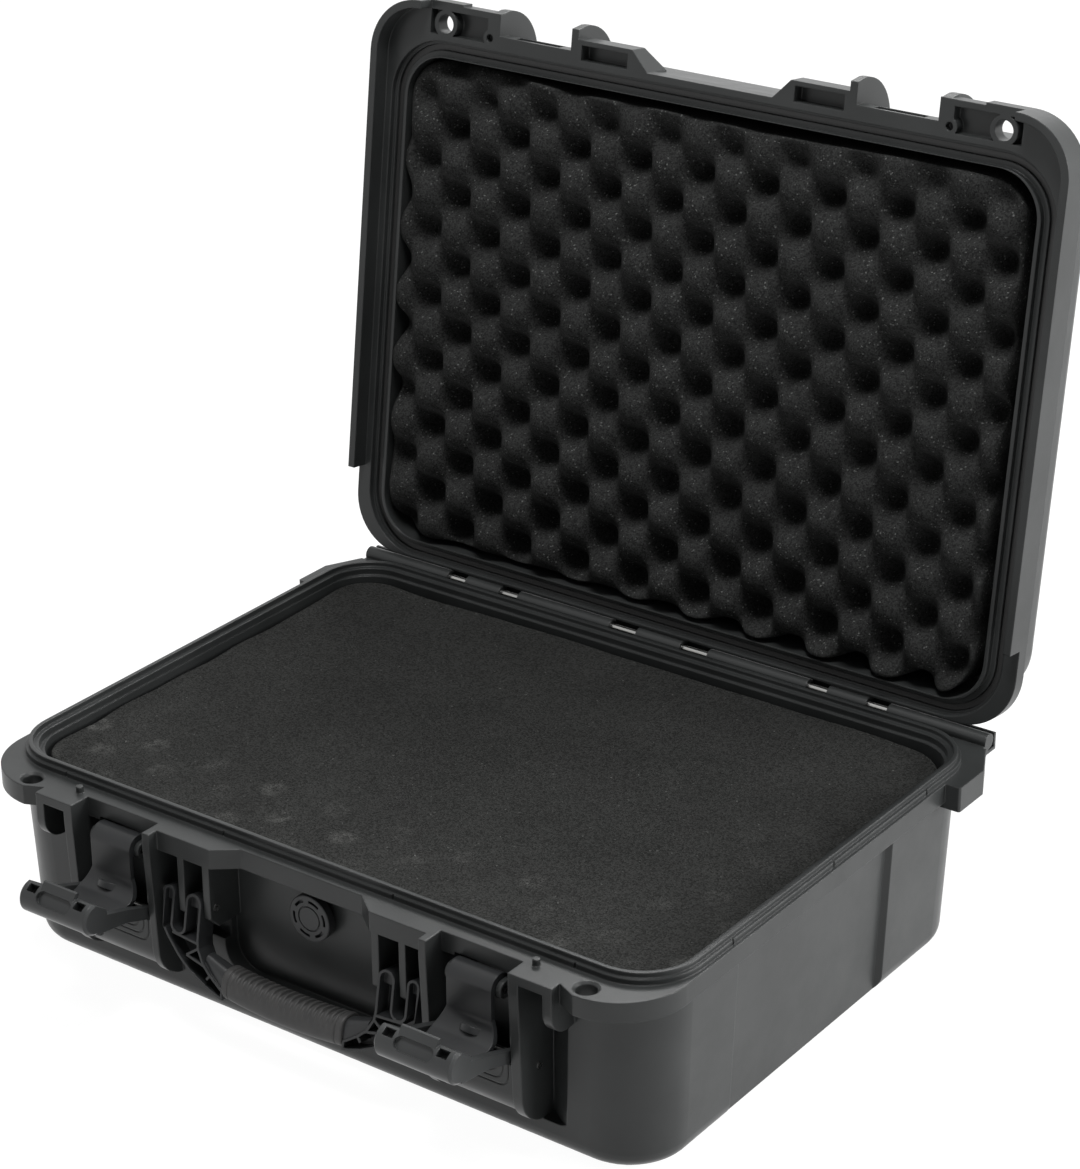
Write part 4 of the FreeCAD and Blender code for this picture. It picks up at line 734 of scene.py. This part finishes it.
@dataclass
class CrateFoam:
    """Egg-crate pad of the lid, drawn with the lid closed and then turned open with it.

    Tips and pits are the heights between which the face waves. The calm sizes say where the waves are
    shallower, the fold sizes press folds into the front left corner, the draw sizes pull the outline in,
    the bow sizes bend the front edge back, and the painted shade in the pits starts a little deeper than the
    tips.
    """

    left: float = -227.0 * MM
    right: float = 219.6 * MM
    front: float = -151.6 * MM
    back: float = 165.8 * MM
    corner: float = 24.0 * MM
    rear: float = 166.0 * MM
    tips: float = 117.0 * MM
    pits: float = 141.0 * MM
    sharpness: float = 1.55
    pitch_x: float = 46.7 * MM
    pitch_y: float = 44.4 * MM
    phase_x: float = 6.2 * MM
    phase_y: float = -137.6 * MM
    lean_x: float = -0.089
    lean_y: float = 0.031
    drift: Ripple = Ripple(0.16, seed=11, height=1.2 * MM)
    uneven: Ripple = Ripple(0.05, seed=5, height=0.25 * MM)
    calm_front: float = 0.38
    calm_front_run: float = 34.0 * MM
    calm_left: float = 0.55
    calm_left_run: float = 30.0 * MM
    calm_depth: float = 0.12
    roll: float = 3.0 * MM
    roll_fall: float = 1.6 * MM
    fold_end: float = -128.0 * MM
    fold_run: float = 40.0 * MM
    fold_wide: float = 15.0 * MM
    fold_deep: float = 9.0 * MM
    fold_wave: float = 0.8 * MM
    fold_pitch: float = 3.6 * MM
    draw_reach: float = 18.0 * MM
    draw_pits: float = 4.0 * MM
    draw_tips: float = 0.1 * MM
    bow_start: float = 75.0 * MM
    bow_run: float = 60.0 * MM
    bow_deep: float = 3.4 * MM
    bow_wave: float = 0.8 * MM
    bow_length: float = 31.0 * MM
    bow_reach: float = 45.0 * MM
    shade_start: float = 5.0 * MM
    step: float = 2.3 * MM
    side_levels: int = 9

    def rise(self, x: np.ndarray, y: np.ndarray) -> np.ndarray:
        """Height of the face as a share.

        The wave is the product of a cosine along X and one along Y, which both lean a little.
        One less a power of its distance from a tip leaves broad tips and saddles and round pits.

        Args:
            x: place across.
            y: place from front to back.

        Returns:
            1 on a tip and 0 in a pit.
        """
        drift = self.drift.at(x, y)
        across = np.cos(TURN * (x + self.lean_x * y - self.phase_x + drift) / self.pitch_x)
        along = np.cos(TURN * (y + self.lean_y * x - self.phase_y - drift) / self.pitch_y)
        return 1.0 - ((1.0 - across * along) / 2.0) ** self.sharpness

    def depth(self, x: np.ndarray, y: np.ndarray) -> np.ndarray:
        """Depth of the face as a share, with shallower waves towards the lid's front and left.

        Args:
            x: place across.
            y: place from front to back.

        Returns:
            0 on a tip and 1 in a pit, nearer to the calm depth where the waves are shallower.
        """
        from_front = part_way(y - self.front, self.calm_front_run)
        eased = from_front * from_front * (3.0 - 2.0 * from_front)
        from_left = part_way(x - self.left, self.calm_left_run)
        waved = self.calm_front + (1.0 - self.calm_front) * eased
        waved = waved * (self.calm_left + (1.0 - self.calm_left) * from_left)
        return (1.0 - self.rise(x, y)) * waved + (1.0 - waved) * self.calm_depth

    def face(self) -> np.ndarray:
        """Works out the waved face, with the lid closed.

        Folds are pressed into its front left corner. Its outline is drawn in beside the pits, and the front
        edge bows back to the right of the corner.

        Returns:
            Points in an array of shape (rows, columns, 3).
        """
        half, centre = (self.right - self.left) / 2.0, (self.left + self.right) / 2.0
        plan = Plan(half, self.front, self.back, self.corner, centre)
        x, y = plan.grid(self.step)
        inside = plan.inside(x, y)
        depth = self.depth(x, y)
        fall = round_edge(inside, self.roll) * self.roll_fall
        z = self.tips + (self.pits - self.tips) * depth + self.uneven.at(x, y) + fall
        folded = (1.0 - part_way(y - self.front, self.fold_wide)) * part_way(self.fold_end - x, self.fold_run)
        z = z + folded * (self.fold_deep + self.fold_wave * np.sin(TURN * (y - self.front) / self.fold_pitch))
        draw = (1.0 - part_way(inside, self.draw_reach)) ** 2 * (depth * self.draw_pits + self.draw_tips)
        x, y = plan.drawn_in(x, y, draw)
        bow = self.bow_deep + self.bow_wave * np.sin(x / self.bow_length)
        bow = bow * part_way(x - self.left - self.bow_start, self.bow_run)
        y = y + bow * (1.0 - part_way(y - self.front, self.bow_reach))
        return np.stack([x, y, z], axis=-1)

    def make(self) -> bpy.types.Object:
        """Builds the pad.

        Returns:
            A closed object: waved face, cut sides, flat back, and its pit attribute, which paints shade down
                the pits.
        """
        hinge = joint_of("lid_hinge")
        turn = -hinge["range_deg"][1]
        closed = slab(self.face(), self.rear, self.side_levels)
        opened = [(turned_about_x(grid, hinge["pos_m"], turn), wrap) for grid, wrap in closed]
        made = mesh_object("egg_crate_foam", opened)

        def shade(place: np.ndarray) -> np.ndarray:
            """How far points lie down a pit, measured with the lid closed again, as the share of painted
            shade.
            """
            height = turned_about_x(place, hinge["pos_m"], -turn)[:, 2]
            return (height - self.tips - self.shade_start) / (self.pits - self.tips)

        tint(made, "pit", shade)
        return made


@dataclass(frozen=True)
class TipPrints:
    """Prints that the lid's foam tips leave on the base foam, along its front and up its right side.

    The tips stand on a staggered lattice: an even one, and its copy half a pitch further both ways.
    Lines are where prints begin, and fades and runs are how far it takes them to reach full strength.
    """

    x: float = -10.2 * MM
    y: float = -118.7 * MM
    pitch_x: float = 46.8 * MM
    pitch_y: float = 45.4 * MM
    front_line: float = -84.0 * MM
    front_fade: float = 6.0 * MM
    front_least: float = 0.38
    left_line: float = 20.0 * MM
    left_fade: float = 80.0 * MM
    corner_line: float = 110.0 * MM
    corner_fade: float = 30.0 * MM
    corner_more: float = 0.30
    right_line: float = 160.0 * MM
    right_fade: float = 12.0 * MM
    right_most: float = 0.55
    right_back: float = 80.0 * MM
    right_run: float = 160.0 * MM
    uneven: Ripple = Ripple(0.04, seed=33, height=0.50, level=0.62)
    wander: Ripple = Ripple(0.012, seed=7, height=1.3 * MM)
    ring_radius: float = 5.5 * MM
    ring_width: float = 2.6 * MM
    ring: Ripple = Ripple(0.022, seed=9, height=0.62, level=0.42)
    disc_radius: float = 6.5 * MM
    disc: Ripple = Ripple(0.009, seed=15, height=0.26, level=0.24)
    dent_radius: float = 6.0 * MM
    dent_depth: float = 0.7 * MM

    def strength(self, x: np.ndarray, y: np.ndarray) -> np.ndarray:
        """Strength of the prints: two rows along the front, fading to the right, and some up the right side.

        Args:
            x: place across of each print's middle.
            y: its place from front to back.

        Returns:
            Values from 0 to 1.
        """
        along_front = self.front_least
        along_front = along_front + (1.0 - self.front_least) * part_way(self.left_line - x, self.left_fade)
        along_front = along_front + self.corner_more * part_way(x - self.corner_line, self.corner_fade)
        front = part_way(self.front_line - y, self.front_fade) * along_front
        up_right = self.right_most * part_way(self.right_back - y, self.right_run)
        right = part_way(x - self.right_line, self.right_fade) * up_right
        return np.clip(np.maximum(front, right) * self.uneven.at(x, y), 0.0, 1.0)

    def marks(self, x: np.ndarray, y: np.ndarray) -> tuple[np.ndarray, np.ndarray]:
        """Finds the nearest print to each point.

        Args:
            x: place across.
            y: place from front to back.

        Returns:
            Distance from that print's middle, and that print's strength.
        """
        across, along = (x - self.x) / self.pitch_x, (y - self.y) / self.pitch_y
        spots = [(np.rint(across - offset) + offset, np.rint(along - offset) + offset)
                 for offset in (0.0, 0.5)]
        gaps = [np.hypot((across - a) * self.pitch_x, (along - b) * self.pitch_y) for a, b in spots]
        nearer = gaps[1] < gaps[0]
        gap = np.where(nearer, gaps[1], gaps[0])
        centre_x = self.x + np.where(nearer, spots[1][0], spots[0][0]) * self.pitch_x
        centre_y = self.y + np.where(nearer, spots[1][1], spots[0][1]) * self.pitch_y
        return gap, self.strength(centre_x, centre_y)

    def dents(self, x: np.ndarray, y: np.ndarray) -> np.ndarray:
        """Depth of the shallow dents under the prints."""
        gap, strength = self.marks(x, y)
        return strength * np.exp(-(gap / self.dent_radius) ** 2) * self.dent_depth

    def rub(self, place: np.ndarray) -> np.ndarray:
        """Rubbing of the surface: a broken ring round each print over a faint uneven disc.

        Args:
            place: points in an array of shape (count, 3).

        Returns:
            Shares from 0 to 1.
        """
        x, y = place[:, 0], place[:, 1]
        shift = self.wander.at(x, y)
        gap, strength = self.marks(x + shift, y - shift)
        ring = np.exp(-((gap - self.ring_radius) / self.ring_width) ** 2)
        ring = ring * np.clip(self.ring.at(x, y), 0.0, 1.0)
        disc = np.exp(-(gap / self.disc_radius) ** 4)
        disc = disc * np.clip(self.disc.at(x, y), 0.0, 1.0)
        return strength * np.clip(ring + disc, 0.0, 1.0)


@dataclass
class BaseFoam:
    """One flat layer of the base filling, with a soft top edge and slightly wandering sides.

    Play keeps its sides inside the solid's, and lift keeps its underside above the solid's.
    """

    node: str
    shown: bool = False
    prints: TipPrints = TipPrints()
    corner: float = 29.0 * MM
    play: float = 0.2 * MM
    lift: float = 0.1 * MM
    roll: float = 2.2 * MM
    roll_share: float = 0.8
    sag: Ripple = Ripple(0.12, seed=8, height=0.25 * MM, level=-0.3 * MM)
    wander: Ripple = Ripple(0.07, seed=21, height=1.7 * MM, level=1.7 * MM)
    wander_reach: float = 20.0 * MM
    step: float = 2.0 * MM
    hidden_step: float = 14.0 * MM
    side_levels: int = 5

    def make(self) -> bpy.types.Object:
        """Builds the layer.

        Returns:
            A closed object: nearly flat top with dents under the prints, rounded rim, upright sides, flat
            underside, and its rub attribute where it shows.
        """
        low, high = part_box(self.node)
        room = Plan(high.x - self.play, low.y, high.y, self.corner)
        cut = replace(room, front=low.y + self.play, back=high.y - self.play)
        x, y = cut.grid(self.step if self.shown else self.hidden_step)
        inside = room.inside(x, y)
        fall = round_edge(inside, self.roll) * self.roll * self.roll_share
        z = high.z + self.sag.at(x, y) - fall - self.prints.dents(x, y)
        draw = (1.0 - part_way(inside, self.wander_reach)) ** 2 * self.wander.at(x, y)
        x, y = room.drawn_in(x, y, draw)
        face = np.stack([x, y, z], axis=-1)
        made = mesh_object(self.node + "_cut", slab(face, low.z + self.lift, self.side_levels))
        if self.shown:
            tint(made, "rub", self.prints.rub)
        return made


@dataclass
class Grip:
    """Ribbed rubber sleeve of the handle, drawn hanging straight and then tilted with the handle.

    The section is the full size times waist at the ends, and times waist plus belly in the middle, where it
    also hangs lower by the bow. How ribbed a side is grows from the ribbed level towards top and rear.
    """

    half_long: float = 43.9 * MM
    drop: float = 41.5 * MM
    high: float = 20.0 * MM
    deep: float = 19.0 * MM
    power: float = 2.6
    waist: float = 0.95
    belly: float = 0.03
    bow: float = 2.4 * MM
    tilt: float = -10.6
    ribs: int = 17
    rib_height: float = 1.4 * MM
    rib_flat: float = 1.6
    rib_fade: float = 1.5 * MM
    ribbed_level: float = 0.5
    ribbed_up: float = 0.765
    ribbed_back: float = 0.495
    collar: float = 4.6 * MM
    groove: float = 0.45 * MM
    groove_deep: float = 0.7 * MM
    end_run: float = 1.2 * MM
    end_fall: float = 0.8 * MM
    columns: int = 72
    stations: int = 420
    cap_rings: int = 4

    def lift(self, x: np.ndarray, sine: np.ndarray, cosine: np.ndarray) -> np.ndarray:
        """Height of the surface over the plain section, never above 0.

        Ribs are flattened cosines along X that fade out towards the lower front. A narrow groove parts a
        plain collar from the ribs at each end, and the collar's end is rounded.

        Args:
            x: place along the sleeve, from its middle.
            sine: upward part of the direction round the sleeve.
            cosine: backward part of that direction.

        Returns:
            The height, in an array of shape (stations, columns).
        """
        share = np.abs(x)
        room = self.half_long - self.collar
        pitch = 2.0 * room / (self.ribs + 1)
        facing = np.clip(self.ribbed_level + self.ribbed_up * sine + self.ribbed_back * cosine, 0.0, 1.0)
        wave = np.clip(np.cos(TURN * x / pitch) * self.rib_flat, -1.0, 1.0) * 0.5 - 0.5
        ribbed = part_way(room - self.rib_fade - share, self.rib_fade)
        groove = np.exp(-((share - room) / self.groove) ** 2)
        end = 1.0 - part_way(self.half_long - share, self.end_run)
        return wave * facing * ribbed * self.rib_height - groove * self.groove_deep - end ** 2 * self.end_fall

    def make(self) -> bpy.types.Object:
        """Builds the sleeve, whose section is a superellipse.

        Returns:
            A closed object.
        """
        pin = joint_of("handle_swing")["pos_m"]
        along = np.linspace(-1.0, 1.0, self.stations)[:, None]
        turn = np.linspace(0.0, TURN, self.columns, endpoint=False)[None, :]
        cosine, sine = np.cos(turn), np.sin(turn)
        x = along * self.half_long
        crown = 1.0 - along ** 2
        radius = (np.abs(cosine) ** self.power + np.abs(sine) ** self.power) ** (-1.0 / self.power)
        swell = self.waist + self.belly * crown
        lift = self.lift(x, sine, cosine)
        y = cosine * radius * (self.deep / 2.0 * swell) + cosine * lift
        z = sine * radius * (self.high / 2.0 * swell) + sine * lift
        z = z - self.bow * crown + self.bow / 2.0
        skin = np.stack([np.broadcast_to(x, y.shape), pin[1] + y, pin[2] - self.drop + z], axis=-1)
        patches = [(skin, True)]
        shares = np.linspace(0.0, 1.0, self.cap_rings)[:, None, None]
        for row in (skin[0], skin[-1]):
            patches.append((row[None] * (1.0 - shares) + row.mean(axis=0) * shares, True))
        tilted = [(turned_about_x(grid, pin, self.tilt), wrap) for grid, wrap in patches]
        return mesh_object("grip_sleeve", tilted)


def looking_rays(tree: bpy.types.NodeTree) -> bpy.types.NodeSocket:
    """Adds nodes that tell rays that look at a surface from rays that only light the case.

    Args:
        tree: the nodes of a material or of the world.

    Returns:
        An output: 1 for rays of the camera, of gloss and through glass, and 0 for the others.
    """
    path = tree.nodes.new("ShaderNodeLightPath")
    seen = path.outputs["Is Camera Ray"]
    for kind in ("Is Glossy Ray", "Is Transmission Ray"):
        either = tree.nodes.new("ShaderNodeMath")
        either.operation = "MAXIMUM"
        tree.links.new(seen, either.inputs[0])
        tree.links.new(path.outputs[kind], either.inputs[1])
        seen = either.outputs[0]
    return seen


@dataclass(frozen=True)
class Lamp:
    """A rectangular soft lamp: where it hangs, its width and height, and its power in watts."""

    name: str
    place: tuple[float, float, float]
    size: tuple[float, float]
    power: float

    def hang(self, aim: Sequence[float]) -> None:
        """Hangs the lamp.

        Args:
            aim: the point that it faces.
        """
        data = bpy.data.lights.new(self.name, "AREA")
        data.shape = "RECTANGLE"
        data.size, data.size_y = self.size
        data.energy = self.power
        made = bpy.data.objects.new(self.name, data)
        bpy.context.scene.collection.objects.link(made)
        made.location = self.place
        made.rotation_euler = (Vector(aim) - Vector(self.place)).to_track_quat("-Z", "Y").to_euler()


@dataclass
class Studio:
    """Plain pale floor, white surroundings, soft lamps and the camera of the photograph.

    Angles are in degrees, the lens and its sensor in millimetres, and lengths in metres. The floor's glow
    and the world's seen strength show to the camera, in gloss and through glass alone. The other light on
    the case comes from the world's light and the lamps.
    """

    azimuth: float = 36.34
    elevation: float = 24.86
    roll: float = -0.44
    lens: float = 100.79
    sensor: float = 36.0
    clip: tuple[float, float] = (0.05, 50.0)
    eye: tuple[float, float, float] = (1.04883, -1.36759, 1.03059)
    floor_size: float = 12.0
    floor_drop: float = 0.2 * MM
    floor_level: float = 0.86
    floor_roughness: float = 0.9
    floor_glow: float = 1.1
    floor_glow_share: float = 0.88
    world_light: float = 0.14
    world_seen: float = 1.0
    aim: tuple[float, float, float] = (0.0, 0.0, 0.18)
    lamps: tuple[Lamp, ...] = (
        Lamp("top_lamp", place=(0.25, -0.25, 2.2), size=(0.7, 0.7), power=37.0),
        Lamp("back_lamp", place=(-0.4, 1.5, 1.9), size=(1.2, 0.6), power=42.0),
        Lamp("right_lamp", place=(2.1, 1.0, 0.8), size=(1.6, 1.2), power=72.0))

    def camera(self) -> None:
        """Sets the camera by its direction, roll and place."""
        side, height, roll = (math.radians(value) for value in (self.azimuth, self.elevation, self.roll))
        level = math.cos(height)
        back = Vector((math.sin(side) * level, -math.cos(side) * level, math.sin(height)))
        right = Vector((0.0, 0.0, 1.0)).cross(back).normalized()
        up = back.cross(right)
        across = math.cos(roll) * right + math.sin(roll) * up
        above = -math.sin(roll) * right + math.cos(roll) * up
        data = bpy.data.cameras.new("camera")
        data.lens = self.lens
        data.sensor_width = self.sensor
        data.clip_start, data.clip_end = self.clip
        made = bpy.data.objects.new("camera", data)
        bpy.context.scene.collection.objects.link(made)
        made.matrix_world = Matrix((
            (across.x, above.x, back.x, self.eye[0]), (across.y, above.y, back.y, self.eye[1]),
            (across.z, above.z, back.z, self.eye[2]), (0.0, 0.0, 0.0, 1.0)))
        bpy.context.scene.camera = made

    def floor_material(self) -> bpy.types.Material:
        """Makes the floor's finish.

        Returns:
            Pale matt to the light, and mostly a white glow to rays that look at it.
        """
        recipe = Recipe("pale_floor")
        recipe.shader.inputs["Base Color"].default_value = (*grey(self.floor_level), 1.0)
        recipe.fix("Roughness", self.floor_roughness)
        glow = recipe.add("ShaderNodeEmission", Color=WHITE, Strength=self.floor_glow)
        share = recipe.add("ShaderNodeMath", operation="MULTIPLY")
        share.inputs[1].default_value = self.floor_glow_share
        recipe.tree.links.new(looking_rays(recipe.tree), share.inputs[0])
        blend = recipe.add("ShaderNodeMixShader")
        recipe.join(share, 0, blend, 0)
        recipe.join(recipe.shader, "BSDF", blend, 1)
        recipe.join(glow, "Emission", blend, 2)
        recipe.join(blend, 0, recipe.output, "Surface")
        return recipe.material

    def floor(self) -> None:
        """Lays a pale floor that the camera sees nearly white, with the case's soft shadow on it."""
        half = self.floor_size / 2.0
        line = np.array([-half, half])
        x, y = np.meshgrid(line, line)
        made = mesh_object("floor", [(np.stack([x, y, np.full_like(x, -self.floor_drop)], axis=-1), False)])
        made.data.materials.append(self.floor_material())
        if made.data.polygons[0].normal.z < 0.0:
            made.data.flip_normals()

    def surroundings(self) -> None:
        """Lights the case from all round, and shows white to the eye and in gloss."""
        world = bpy.data.worlds.new("surroundings")
        world.use_nodes = True
        tree = world.node_tree
        tree.nodes.clear()
        blend = tree.nodes.new("ShaderNodeMixShader")
        tree.links.new(looking_rays(tree), blend.inputs[0])
        for entry, strength in ((1, self.world_light), (2, self.world_seen)):
            glow = tree.nodes.new("ShaderNodeBackground")
            glow.inputs["Color"].default_value = WHITE
            glow.inputs["Strength"].default_value = strength
            tree.links.new(glow.outputs[0], blend.inputs[entry])
        output = tree.nodes.new("ShaderNodeOutputWorld")
        tree.links.new(blend.outputs[0], output.inputs[0])
        bpy.context.scene.world = world

    def make(self) -> None:
        """Sets up everything round the case."""
        self.camera()
        self.floor()
        self.surroundings()
        for lamp in self.lamps:
            lamp.hang(self.aim)
        bpy.context.scene.view_settings.view_transform = "Standard"


@dataclass
class MicrophoneCase:
    """The whole case: dressed solids and the soft pieces that replace plain ones."""

    finishes: Finishes = field(default_factory=Finishes)

    def dress_solids(self) -> None:
        """Gives every solid its finish."""
        by_word = (("_shell", self.finishes.shell), ("foam", self.finishes.foam),
                   ("lid_seal", self.finishes.seal), ("_pin", self.finishes.steel),
                   ("latch_hook", self.finishes.latch_tone_and_light),
                   ("latch_lever", self.finishes.hardware), ("handle_frame", self.finishes.hardware),
                   ("handle_grip", self.finishes.rubber), ("valve_seal", self.finishes.seal),
                   ("valve_membrane", self.finishes.membrane), ("valve_", self.finishes.hardware))
        for node in sorted(frame["nodes"]):
            material = next(made for word, made in by_word if word in node)
            self.finishes.dress(node, material)
            LOG.info("dressed %s", node)

    def add(self, piece: bpy.types.Object, body: str, node: str, slot: str,
            material: bpy.types.Material) -> None:
        """Finishes a new piece and puts it in place of a solid.

        Args:
            piece: the new object.
            body: the body it rides on.
            node: the solid it stands for.
            slot: not used.
            material: its material.
        """
        piece.data.materials.append(material)
        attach(piece, body)
        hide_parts(node)
        LOG.info("%s: %d faces", piece.name, len(piece.data.polygons))

    def make(self) -> None:
        """Builds and dresses every piece."""
        self.dress_solids()
        crate = CrateFoam().make()
        self.add(crate, "lid", "lid_foam", "crate_foam", self.finishes.crate)
        for node in ("base_foam_bottom", "base_foam_middle", "base_foam_top"):
            layer = BaseFoam(node, shown=node.endswith("top")).make()
            self.add(layer, "base", node, "foam", self.finishes.foam)
        self.add(Grip().make(), "handle", "handle_grip", "grip_rubber", self.finishes.rubber)


def main() -> None:
    """Makes the case and the studio."""
    logging.basicConfig(level=logging.INFO, format="%(name)s: %(message)s")
    MicrophoneCase().make()
    Studio().make()


if __name__ == "__main__":
    main()
